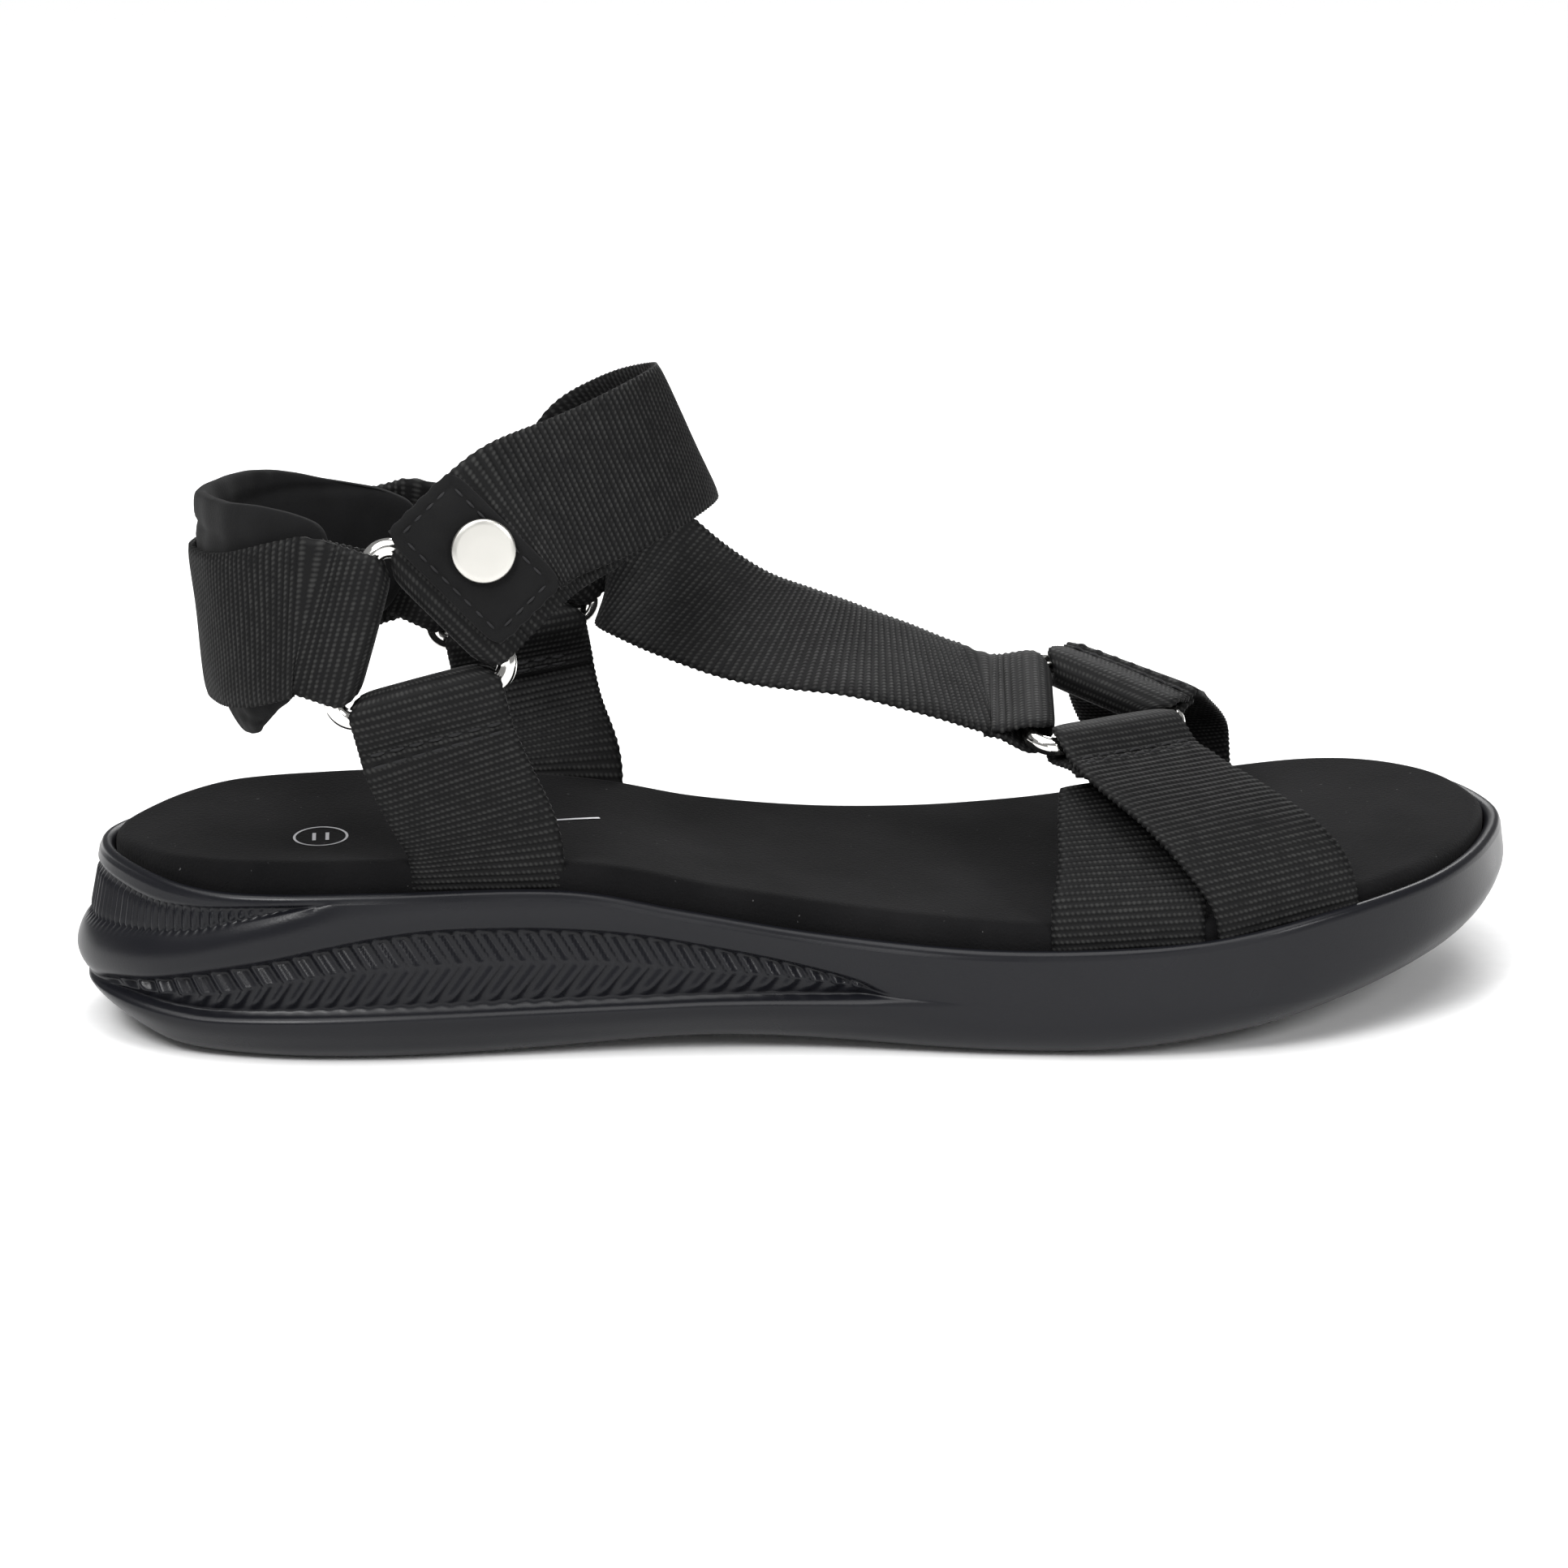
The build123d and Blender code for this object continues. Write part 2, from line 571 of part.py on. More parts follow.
def main():
    os.makedirs("parts", exist_ok=True)
    legs = {
        "quarter_strap_lateral": leg(OUTER_RING, 0, QUARTER_LATERAL, *ANCHORS["quarter_lateral"]),
        "quarter_strap_medial": leg(INNER_RING, 0, QUARTER_MEDIAL, *ANCHORS["quarter_medial"]),
        "forefoot_strap_lateral_front": leg(FORE_RING, 1, FORE_LATERAL, *ANCHORS["fore_lateral"]),
        "forefoot_strap_medial": leg(FORE_RING, 2, FORE_MEDIAL, *ANCHORS["fore_medial"]),
        "forefoot_strap_lateral_rear": rear_leg_stations(),
    }
    cutters = [anchor_pocket(x, side) for x, side in ANCHORS.values()]
    export("sole", make_sole(cutters))
    floor = FIT - RECESS_DEPTH
    board_top = floor + BOARD_THICKNESS
    board = make_footbed(RIM, floor, RIM, board_top, FOOTBED_INSET, cutters)
    export("insole_board", board)
    core = make_footbed(
        RIM, board_top + FIT, FOOTBED_TOP, -COVER_THICKNESS - FIT,
        FOOTBED_INSET + COVER_THICKNESS + FIT, cutters,
    )
    export("footbed_foam", core)
    cover = make_footbed(RIM, board_top + FIT, FOOTBED_TOP, 0.0, FOOTBED_INSET, cutters)
    cover -= prism(FOOTBED_INSET + COVER_THICKNESS) & band(RIM, -20.0, FOOTBED_TOP, -COVER_THICKNESS)
    export("footbed_cover", cover)

    for name, stations in legs.items():
        export(name, webbing(stations))
    export("heel_strap", webbing(heel_stations()))
    export("heel_pad", ribbon(pad_stations(), PAD_THICKNESS))
    export("long_strap", webbing(long_strap_stations()))

    short = short_strap_stations()
    export("short_strap", webbing(short) - post_hole())
    flap = hinge_split()[0]
    export("closure_flap", webbing(flap) - post_hole())
    export("hook_tape", tape(flap, 1, FLAP_TAPED))
    export("loop_tape", tape(short, -1, SHORT_TAPED))
    export("closure_patch", make_patch())
    export("snap_cap", make_cap())
    export("snap_socket", make_socket())
    export("snap_stud", make_stud())
    export("snap_stud_back", make_stud_back())

    export("ring_lateral", OUTER_RING.solid())
    export("ring_medial", INNER_RING.solid())
    export("ring_forefoot", FORE_RING.solid())


main()
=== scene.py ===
import math
import random

import bpy
import numpy as np
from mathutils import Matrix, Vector


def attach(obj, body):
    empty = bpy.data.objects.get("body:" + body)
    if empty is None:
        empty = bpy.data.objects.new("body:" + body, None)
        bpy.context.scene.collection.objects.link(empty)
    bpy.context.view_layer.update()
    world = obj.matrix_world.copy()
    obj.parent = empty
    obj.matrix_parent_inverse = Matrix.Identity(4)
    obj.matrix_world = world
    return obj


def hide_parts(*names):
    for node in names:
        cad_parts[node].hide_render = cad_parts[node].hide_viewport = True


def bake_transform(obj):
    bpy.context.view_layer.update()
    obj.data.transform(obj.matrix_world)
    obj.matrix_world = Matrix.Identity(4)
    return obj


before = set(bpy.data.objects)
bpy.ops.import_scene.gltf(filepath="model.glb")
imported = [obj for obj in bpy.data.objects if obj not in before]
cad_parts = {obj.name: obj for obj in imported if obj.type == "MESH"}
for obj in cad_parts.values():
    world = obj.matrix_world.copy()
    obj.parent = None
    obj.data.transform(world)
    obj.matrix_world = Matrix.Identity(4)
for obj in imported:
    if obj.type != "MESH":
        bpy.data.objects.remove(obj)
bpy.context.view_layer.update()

MM = 0.001

# ---- sizes, in millimetres
LENGTH = 250.0
WIDTH = 89.5
WEB = 25.0  # strap width
LAYER = 1.3  # strap thickness in the CAD
THICK = 1.35  # strap thickness over its weave
RIB_PITCH = 1.2  # of the weave
WEAVE_STEP = 0.20
RING_SIDE = 33.4  # sharp corner to sharp corner, on the wire's centre line
RING_CORNER = 3.4
WIRE = 3.2
SEAT = 0.675  # from a ring's plane to the middle of a strap lying along it
TURN = 2.6  # radius of a strap's turn round a bar
LAYER_GAP = 4.0  # between the two straps of the closure
END_SHIFT = 3.0  # the closing strap lies this much higher than the short strap
PASS_LENGTH = 8.0  # flat run of the long strap either side of its turn
STUD_AT = 9.6  # from the ring's bar to the middle of the press stud
FIT = 0.05  # between pieces that lie against each other
TAPE = 0.9  # thickness of the hook and loop tape, and of the patch
TAPE_WIDTH = 21.0
PRINT_LIFT = 0.14  # of a printed line above the footbed

# The sole's side: its rows, its rolled rim, and relief outwards from its plain wall.
BOTTOM_ROUND = 6.5
CORNER_INSET = 6.8
WIDEST = 9.5  # height where the sole is widest
RIM_ROUND = 1.4
STRAP_INSET = 3.6 + 0.7  # where a strap comes up, past the rim
LINE_GAP = 0.3  # least height between two moulded lines
ROWS_BETWEEN = (15, 11, 13, 12, 10, 5)
HEEL_RIB_PITCH = 1.75
HEEL_RIB_SUNK = 1.05
HEEL_RIB_HEIGHT = 0.80
BULGE_REAR = 1.15
BULGE_FRONT = 0.55
HERRINGBONE_PITCH = 3.45
LENS_DEPTH = 1.75
LENS_CROWN = 0.75
LEDGE = 0.95
TREAD_PITCH = 9.0
TREAD_DEPTH = 1.5

OUTLINE = [
    (-0.500, 0.000), (-0.486, -0.140), (-0.446, -0.262), (-0.380, -0.335), (-0.300, -0.366),
    (-0.200, -0.366), (-0.100, -0.374), (0.000, -0.402), (0.100, -0.456), (0.180, -0.490),
    (0.240, -0.500), (0.305, -0.484), (0.368, -0.418), (0.420, -0.320), (0.462, -0.185),
    (0.492, -0.020), (0.500, 0.120), (0.485, 0.290), (0.448, 0.405), (0.388, 0.476),
    (0.315, 0.4985), (0.240, 0.492), (0.160, 0.457), (0.080, 0.400), (0.000, 0.355),
    (-0.080, 0.326), (-0.180, 0.330), (-0.280, 0.352), (-0.380, 0.335), (-0.446, 0.262),
    (-0.486, 0.140),
]
UNDERSIDE = [
    (-0.56, 22.0), (-0.50, 7.5), (-0.46, 2.0), (-0.40, 0.0), (-0.23, 0.0), (-0.08, 1.9),
    (0.06, 0.3), (0.14, 0.0), (0.20, 0.9), (0.285, 4.1), (0.37, 8.4), (0.45, 12.6), (0.50, 16.6),
    (0.56, 22.5),
]
RIM = [
    (-0.56, 32.5), (-0.47, 30.4), (-0.40, 29.0), (-0.30, 29.3), (-0.18, 28.9), (-0.10, 25.0),
    (-0.02, 21.3), (0.06, 19.2), (0.14, 18.8), (0.24, 20.3), (0.33, 23.8), (0.42, 26.0),
    (0.50, 26.6), (0.56, 26.8),
]
FOOTBED_TOP = [
    (-0.56, 34.5), (-0.47, 33.4), (-0.38, 33.2), (-0.26, 33.2), (-0.15, 31.8), (-0.07, 28.0),
    (0.02, 24.6), (0.12, 22.6), (0.20, 22.6), (0.30, 25.2), (0.40, 27.8), (0.50, 28.6), (0.56, 28.8),
]
# Lines moulded in the sole's side: distance from the middle, height.
RIB_TOP = [(-126, 28.4), (-114, 26.7), (-106, 26.7), (-96, 27.4), (-87, 27.9), (-80, 28.3), (-70, 28.6)]
RIB_LOW = [(-126, 17.6), (-114, 20.0), (-105, 21.6), (-96, 24.3), (-87, 26.6), (-80, 28.3), (-70, 28.6)]
BULGE_LOW = [
    (-126, 9.6), (-119, 11.7), (-112, 13.3), (-102, 15.8), (-92, 18.1), (-84, 20.1), (-75, 22.0),
    (-66, 23.0), (-55, 23.0), (-45, 22.6), (-33, 21.4), (-21, 19.2), (-9, 16.7), (2, 13.9), (9, 11.4),
    (20, 10.0), (40, 9.0),
]
APEX = [
    (-126, 9.5), (-118, 10.2), (-111, 10.9), (-102, 11.7), (-93, 13.7), (-84, 15.4), (-75, 16.4),
    (-57, 17.0), (-39, 16.6), (-24, 15.1), (-12, 14.0), (2, 12.4), (9, 10.8), (20, 9.8), (40, 8.9),
]
LENS_LOW = [
    (-126, 9.4), (-120, 9.6), (-114, 9.1), (-108, 8.5), (-102, 8.2), (-90, 8.6), (-73, 9.0),
    (-55, 9.1), (-33, 9.5), (-21, 9.9), (-4, 10.1), (8, 10.3), (20, 9.7), (40, 8.8),
]


# ---- small helpers
def between(p0, p1, p2, p3, t):
    """Catmull-Rom point a share t of the way from p1 to p2."""
    return 0.5 * (2 * p1 + (p2 - p0) * t + (2 * p0 - 5 * p1 + 4 * p2 - p3) * t * t
                  + (3 * p1 - p0 - 3 * p2 + p3) * t ** 3)


def smooth(points, spans):
    """Catmull-Rom samples through rows of numbers."""
    rows = np.array(points, float)
    rows = np.vstack([2 * rows[0] - rows[1], rows, 2 * rows[-1] - rows[-2]])
    out = []
    for i in range(1, len(rows) - 2):
        p0, p1, p2, p3 = rows[i - 1:i + 3]
        out += [between(p0, p1, p2, p3, k / spans) for k in range(spans)]
    out.append(rows[-2])
    return np.array(out)


def along_foot(table, share=True):
    """A height as a function of x. With share, the table's x is a share of the length."""
    fine = smooth(table, 12)
    scale = LENGTH if share else 1.0
    return lambda x: np.interp(x, fine[:, 0] * scale, fine[:, 1])


z_under = along_foot(UNDERSIDE)
z_rim = along_foot(RIM)
z_bed = along_foot(FOOTBED_TOP)
z_rib_top = along_foot(RIB_TOP, False)
z_rib_low = along_foot(RIB_LOW, False)
z_bulge_low = along_foot(BULGE_LOW, False)
z_apex = along_foot(APEX, False)
z_lens_low = along_foot(LENS_LOW, False)


def step(a, b, x):
    """0 before a and 1 past b, with a soft rise between."""
    t = np.clip((x - a) / (b - a), 0, 1)
    return t * t * (3 - 2 * t)


def unit(v):
    return v / max(np.linalg.norm(v), 1e-9)


def units(rows):
    return rows / np.linalg.norm(rows, axis=1)[:, None]


def running(points):
    """Distance of each point along a path."""
    return np.concatenate([[0], np.cumsum(np.linalg.norm(np.diff(points, axis=0), axis=1))])


def sampled(at, run, rows):
    """Rows of numbers read off at given distances."""
    return np.stack([np.interp(at, run, column) for column in rows.T], -1)


def linked(name, data):
    obj = bpy.data.objects.new(name, data)
    bpy.context.collection.objects.link(obj)
    return obj


def mesh_object(name, verts, faces, mat, uvs=None, smooth_shading=True):
    """Vertices in millimetres, one uv per vertex."""
    data = bpy.data.meshes.new(name)
    corners = [tuple(v) for v in np.asarray(verts) * MM]
    data.from_pydata(corners, [], [tuple(map(int, f)) for f in faces])
    data.update()
    if uvs is not None:
        layer = data.uv_layers.new(name="UVMap")
        index = np.zeros(len(data.loops), np.int32)
        data.loops.foreach_get("vertex_index", index)
        layer.data.foreach_set("uv", np.asarray(uvs, np.float32)[index].ravel())
    data.polygons.foreach_set("use_smooth", [smooth_shading] * len(data.polygons))
    data.materials.append(mat)
    return linked(name, data)


def grid_faces(rows, cols, wrap_rows=False, wrap_cols=False, base=0, flip=False):
    """Quads of a grid of points, row by row from the vertex numbered base."""
    faces = []
    for i in range(rows if wrap_rows else rows - 1):
        a, b = i * cols, ((i + 1) % rows) * cols
        for j in range(cols if wrap_cols else cols - 1):
            k = (j + 1) % cols
            quad = (base + a + j, base + a + k, base + b + k, base + b + j)
            faces.append(quad[::-1] if flip else quad)
    return faces


def end_faces(rows, cols):
    """Caps on both ends of a tube of points."""
    return [tuple(range(cols))[::-1], tuple(range((rows - 1) * cols, rows * cols))]


# ---- materials
def material(name, color, rough, metallic=0.0, specular=0.5, sheen=0.0):
    """A plain material, as itself, its node tree and its shader."""
    mat = bpy.data.materials.new(name)
    mat.use_nodes = True
    shader = mat.node_tree.nodes["Principled BSDF"]
    for key, value in (
        ("Base Color", (*color, 1)), ("Roughness", rough), ("Metallic", metallic),
        ("Specular IOR Level", specular), ("Sheen Weight", sheen),
    ):
        shader.inputs[key].default_value = value
    return mat, mat.node_tree, shader


def node(tree, kind, **values):
    """A new node with its inputs or properties set."""
    made = tree.nodes.new(kind)
    for key, value in values.items():
        if key in made.inputs:
            made.inputs[key].default_value = value
        else:
            setattr(made, key, value)
    return made


def bumped(tree, shader, source, strength, distance):
    bump = node(tree, "ShaderNodeBump", Strength=strength, Distance=distance)
    tree.links.new(source, bump.inputs["Height"])
    tree.links.new(bump.outputs["Normal"], shader.inputs["Normal"])


def noise(tree, scale, detail=4.0, rough=0.55):
    place = node(tree, "ShaderNodeTexCoord")
    made = node(tree, "ShaderNodeTexNoise", Scale=scale, Detail=detail, Roughness=rough)
    tree.links.new(place.outputs["Object"], made.inputs["Vector"])
    return made


def ramp(tree, source, stops):
    """A colour ramp with (place, grey or colour) stops."""
    made = node(tree, "ShaderNodeValToRGB")
    element = made.color_ramp.elements
    while len(element) < len(stops):
        element.new(0.5)
    for slot, (place, value) in zip(element, stops):
        slot.position = place
        slot.color = (value, value, value, 1) if np.isscalar(value) else (*value, 1)
    tree.links.new(source, made.inputs["Fac"])
    return made


def rubber():
    mat, tree, shader = material("sole_rubber", (0.0060, 0.0062, 0.0082), 0.36, specular=0.24)
    fine = noise(tree, 2600, 3)
    bumped(tree, shader, fine.outputs["Fac"], 0.10, 0.0002)
    wide = noise(tree, 60, 3)
    wear = ramp(tree, wide.outputs["Fac"], [(0.3, 0.26), (0.7, 0.36)])
    tree.links.new(wear.outputs["Color"], shader.inputs["Roughness"])
    return mat


def suede():
    """Dark nap, patchy in tone, with a few specks of lint."""
    mat, tree, shader = material(
        "footbed_cover", (0.006, 0.006, 0.0065), 0.95, specular=0.06, sheen=0.03
    )
    wide = noise(tree, 38, 5)
    dark, light = (0.0030, 0.0030, 0.0033), (0.0085, 0.0083, 0.0088)
    tone = ramp(tree, wide.outputs["Fac"], [(0.30, dark), (0.72, light)])
    lint = noise(tree, 1300, 1, rough=0.3)
    spot = ramp(tree, lint.outputs["Fac"], [(0.800, 0.0), (0.83, 1.0)])
    mix = node(tree, "ShaderNodeMix", data_type="RGBA")
    tree.links.new(spot.outputs["Color"], mix.inputs[0])
    tree.links.new(tone.outputs["Color"], mix.inputs[6])
    mix.inputs[7].default_value = (0.06, 0.06, 0.06, 1)
    tree.links.new(mix.outputs[2], shader.inputs["Base Color"])
    nap = noise(tree, 1900, 4)
    bumped(tree, shader, nap.outputs["Fac"], 0.5, 0.0004)
    return mat


def webbing_material(name, color, crest_highlight):
    """u runs along the strap in millimetres, v across it. The top of each rib is painted lighter, a painted
    highlight where threads catch the light.
    """
    mat, tree, shader = material(name, color, 0.62, specular=0.14, sheen=0.01)
    place = node(tree, "ShaderNodeTexCoord")
    split = node(tree, "ShaderNodeSeparateXYZ")
    tree.links.new(place.outputs["UV"], split.inputs[0])

    def maths(operation, first, second, third=None):
        made = node(tree, "ShaderNodeMath", operation=operation)
        for slot, value in enumerate((first, second, third)):
            if value is None:
                continue
            if isinstance(value, (int, float)):
                made.inputs[slot].default_value = value
            else:
                tree.links.new(value, made.inputs[slot])
        return made.outputs[0]

    rib = maths("COSINE", maths("MULTIPLY", split.outputs[0], 2 * math.pi / RIB_PITCH), None)
    twist = maths("MULTIPLY", split.outputs[0], 2 * math.pi / (2 * RIB_PITCH))
    thread = maths("SINE", maths("ADD", maths("MULTIPLY", split.outputs[1], 2 * math.pi / 0.85), twist), None)
    crest = maths("MULTIPLY_ADD", rib, 0.5, 0.5)
    spot = maths("MULTIPLY", crest, maths("MULTIPLY_ADD", thread, 0.28, 0.72))
    fuzz = noise(tree, 420, 2)
    uneven = maths("MULTIPLY", spot, maths("MULTIPLY_ADD", fuzz.outputs["Fac"], 1.6, 0.2))
    # painted highlight: rib crests blend from the strap's colour to the lighter highlight colour
    tone = ramp(tree, uneven, [(0.32, color), (1.05, crest_highlight)])
    tree.links.new(tone.outputs["Color"], shader.inputs["Base Color"])
    bumped(tree, shader, spot, 0.55, 0.00022)
    return mat


def cloth(name, color, scale, strength, sheen):
    """Fine matt cloth, a little patchy in tone."""
    mat, tree, shader = material(name, color, 0.9, specular=0.12, sheen=sheen * 0.4)
    fine = noise(tree, scale, 3)
    bumped(tree, shader, fine.outputs["Fac"], strength, 0.0002)
    wide = noise(tree, 90, 3)
    dark, light = (tuple(c * share for c in color) for share in (0.75, 1.35))
    tone = ramp(tree, wide.outputs["Fac"], [(0.3, dark), (0.7, light)])
    tree.links.new(tone.outputs["Color"], shader.inputs["Base Color"])
    return mat


def chrome(name="metal", color=(0.86, 0.85, 0.82), low=0.06, high=0.16):
    """Plated metal whose roughness wanders between two values."""
    mat, tree, shader = material(name, color, low, 1.0)
    wide = noise(tree, 240, 3)
    worn = ramp(tree, wide.outputs["Fac"], [(0.35, low), (0.75, high)])
    tree.links.new(worn.outputs["Color"], shader.inputs["Roughness"])
    return mat


M_RUBBER = rubber()
M_SUEDE = suede()
# the second colour is the painted highlight on the webbing's rib crests
M_WEB = webbing_material("webbing", (0.0028, 0.0028, 0.0030), (0.024, 0.024, 0.0235))
M_PAD = cloth("pad_cloth", (0.0055, 0.0055, 0.0058), 2400, 0.3, 0.10)
M_PATCH = cloth("patch", (0.0060, 0.0060, 0.0062), 2000, 0.35, 0.08)
M_THREAD = cloth("thread", (0.020, 0.020, 0.021), 3000, 0.3, 0.1)
M_TAPE = cloth("tape", (0.006, 0.006, 0.006), 1500, 0.9, 0.2)
M_CHROME = chrome()
M_CAP = chrome("cap_metal", (0.60, 0.59, 0.555), 0.30, 0.42)
M_PRINT = material("print", (0.55, 0.55, 0.57), 0.45, 0.6)[0]


# ---- the footprint
def closed(points, count):
    """Catmull-Rom round a closed list, with points closer together where the side is moulded finely."""
    pts = np.array(points, float)
    wrapped = np.vstack([pts[-1], pts, pts[0], pts[1]])
    out = []
    for i in range(1, len(pts) + 1):
        p0, p1, p2, p3 = wrapped[i - 1:i + 3]
        out += [between(p0, p1, p2, p3, k / 40) for k in range(40)]
    out = np.array(out)
    out = np.vstack([out, out[0]])
    lengths = np.linalg.norm(np.diff(out, axis=0), axis=1)
    run = np.concatenate([[0], np.cumsum(lengths)])
    x = (out[1:, 0] + out[:-1, 0]) / 2
    closeness = 1.25 + 0.75 * step(30, 10, x) + 1.3 * step(-74, -82, x)
    measure = np.concatenate([[0], np.cumsum(lengths * closeness)])
    want = np.interp(np.linspace(0, measure[-1], count, endpoint=False), measure, run)
    return sampled(want, run, out), want


COUNT = 1150
EDGE, ARC = closed([(x * LENGTH, y * WIDTH) for x, y in OUTLINE], COUNT)
chord = units(np.roll(EDGE, -3, 0) - np.roll(EDGE, 3, 0))
INWARD = np.stack([-chord[:, 1], chord[:, 0]], 1)
SPINE_X = [-88, 0, 60, 86]
SPINE_Y = [0, -1.5, 0.5, 3.0]


def ring_at(inset):
    """The footprint moved in; inset may differ from point to point."""
    return EDGE + INWARD * np.asarray(inset).reshape(-1, 1)


def rim_inset(x):
    """How far the rim stands in from the widest part of the sole."""
    return 0.9 + 3.4 * step(-98, -123, x) + 1.4 * step(100, 122, x)


def rim_width(x):
    return 2.7 - 0.5 * step(-98, -123, x)


def drawn_in(outer, t):
    """Points a share t of the way from a ring to the footprint's middle line."""
    x = outer[:, 0]
    spine = np.column_stack([np.clip(x, SPINE_X[0], SPINE_X[-1]), np.interp(x, SPINE_X, SPINE_Y)])
    return outer * (1 - t) + spine * t


# ---- sole
def wall_offset(x, z, arc):
    """Outward relief of the side at a place, in millimetres, for arrays of x and z."""
    top, rib_low, bulge, apex, low = z_rib_top(x), z_rib_low(x), z_bulge_low(x), z_apex(x), z_lens_low(x)
    # ribbed band under the rim at the heel
    inside = step(0, 0.7, z - rib_low) * step(0, 0.9, top - z) * step(-78, -92, x)
    ribs = 0.5 + 0.5 * np.cos(2 * np.pi * arc / HEEL_RIB_PITCH)
    fade = step(0.2, 1.6, z - rib_low) * step(0.3, 2.2, top - z)
    relief = inside * (-HEEL_RIB_SUNK + HEEL_RIB_HEIGHT * ribs * fade)
    # swelling band that sweeps up to the rim
    share = np.clip((z - bulge) / np.maximum(rib_low - bulge, 1.5), 0, 1)
    swell = np.where((z > bulge) & (z < rib_low + 0.01), np.sin(np.pi * share) ** 0.7, 0.0) * step(40, 0, x)
    relief += BULGE_REAR * swell * step(-70, -100, x) + BULGE_FRONT * swell * step(-100, -70, x)
    # sunk lens with herringbone, its two halves leaning away from the line along its middle
    upper = z > apex
    lens = step(-0.2, 0.9, bulge - z) * step(-0.3, 0.5, z - low)
    lens = lens * step(0.4, 3.0, np.maximum(bulge - low, 0.01))
    half = np.maximum(np.where(upper, bulge - apex, apex - low), 0.5)
    crown = 1 - np.clip(np.abs(z - apex) / half, 0, 1)
    lean = np.where(upper, (z - apex) * 0.62, -(z - apex) * 0.75)
    sharp = (0.5 + 0.5 * np.cos(2 * np.pi * (x + lean) / HERRINGBONE_PITCH)) ** 1.6
    edge = step(0.0, 0.8, bulge - z) * step(0.5, 2.6, z - low)
    relief += lens * (-LENS_DEPTH + LENS_CROWN * crown + np.where(upper, 1.05, 0.75) * sharp * edge)
    # lower band with its ledge
    relief += LEDGE * step(0.5, -0.5, z - low) * step(-5.5, -0.8, z - low) * step(24, 2, x)
    return relief


def side_levels(x):
    """Heights of the side's rows, which follow its moulded lines."""
    rim_foot = z_rim(x) - RIM_ROUND
    lines = [z_under(x), z_lens_low(x), z_apex(x), z_bulge_low(x), z_rib_low(x), z_rib_top(x), rim_foot]
    last = len(lines) - 1
    for k in range(1, last + 1):
        lines[k] = np.maximum(lines[k], lines[k - 1] + LINE_GAP)
        lines[k] = np.minimum(lines[k], rim_foot - (last - k) * LINE_GAP)
    levels = []
    for low, high, count in zip(lines, lines[1:], ROWS_BETWEEN):
        levels += [low + (high - low) * k / count for k in range(count)]
    return levels + [lines[-1]]


def build_side():
    """The sole's wall, its rolled rim and the drop to the footbed's seat."""
    x = EDGE[:, 0]
    low, top = z_under(x), z_rim(x)
    corner = np.minimum(BOTTOM_ROUND, (top - low) * 0.42)
    rows = []
    for z in side_levels(x):
        under = np.clip(1 - (z - low) / corner, 0, 1)
        share = np.clip((z - WIDEST) / np.maximum(top - WIDEST, 1), 0, 1)
        inset = CORNER_INSET * (1 - np.sqrt(np.maximum(1 - under ** 2, 0)))
        inset = inset + rim_inset(x) * share ** 1.15 - wall_offset(x, z, ARC)
        rows.append(np.column_stack([ring_at(inset), z]))
    for k in range(1, 13):
        a = math.pi * k / 12
        inset = rim_inset(x) - 0.25 * math.sin(a) + (1 - math.cos(a)) / 2 * rim_width(x)
        rows.append(np.column_stack([ring_at(inset), top - RIM_ROUND + RIM_ROUND * math.sin(a)]))
    rows.append(np.column_stack([ring_at(rim_inset(x) + rim_width(x) + 0.1), top - 4.5]))
    verts = np.concatenate(rows)
    uvs = np.column_stack([np.tile(ARC, len(rows)), verts[:, 2]])
    return mesh_object("sole_side", verts, grid_faces(len(rows), COUNT, wrap_cols=True), M_RUBBER, uvs)


def build_tread():
    """The underside, drawn in towards the middle line, with moulded bars."""
    rings = 80
    start = ring_at(6.6)
    rows = []
    for k in range(rings + 1):
        t = k / rings
        place = drawn_in(start, t)
        x, y = place[:, 0], place[:, 1]
        bar = np.abs(((x + 0.35 * np.abs(y)) / TREAD_PITCH) % 1.0 - 0.5)
        cut = step(0.16, 0.10, bar) * step(0.18, 0.32, t) * step(1.0, 0.9, t) * (t > 0)
        rows.append(np.column_stack([place, z_under(x) + TREAD_DEPTH * cut]))
    faces = grid_faces(len(rows), COUNT, wrap_cols=True, flip=True)
    return mesh_object("sole_tread", np.concatenate(rows), faces, M_RUBBER)


# ---- footbed
def bed_height(x, y):
    """Top of the footbed: a shallow cup at the heel and a slight crown over the arch."""
    half = np.interp(x, [-125, -85, -30, 20, 60, 100, 125], [24, 28, 28, 33, 39, 32, 18])
    q = np.clip(np.abs(y) / half, 0, 1.15)
    cup = 0.9 * q ** 3 * step(-20, -60, x) - 0.5 * (1 - q ** 2) * step(-45, -80, x)
    return z_bed(x) + cup - 0.4 * (1 - q ** 2)


def build_footbed():
    """The covered footbed, with a rounded edge and its side going down inside the rim."""
    x = EDGE[:, 0]
    start = rim_inset(x) + rim_width(x) + 0.35
    rows = [np.column_stack([ring_at(start), z_rim(x) - 4.0])]
    for inset, drop in ((-0.05, 2.6), (0.0, 1.6), (0.25, 0.85), (0.7, 0.35), (1.4, 0.08), (2.2, 0.0)):
        place = ring_at(start + inset)
        rows.append(np.column_stack([place, bed_height(*place.T) - drop]))
    uvs = [np.column_stack([ARC, row[:, 2]]) for row in rows]
    outer = ring_at(start + 2.2)
    rings = 46
    for k in range(1, rings + 1):
        place = drawn_in(outer, k / rings)
        rows.append(np.column_stack([place, bed_height(*place.T)]))
        uvs.append(place)
    faces = grid_faces(len(rows), COUNT, wrap_cols=True)
    return mesh_object("footbed_top", np.concatenate(rows), faces, M_SUEDE, np.concatenate(uvs))


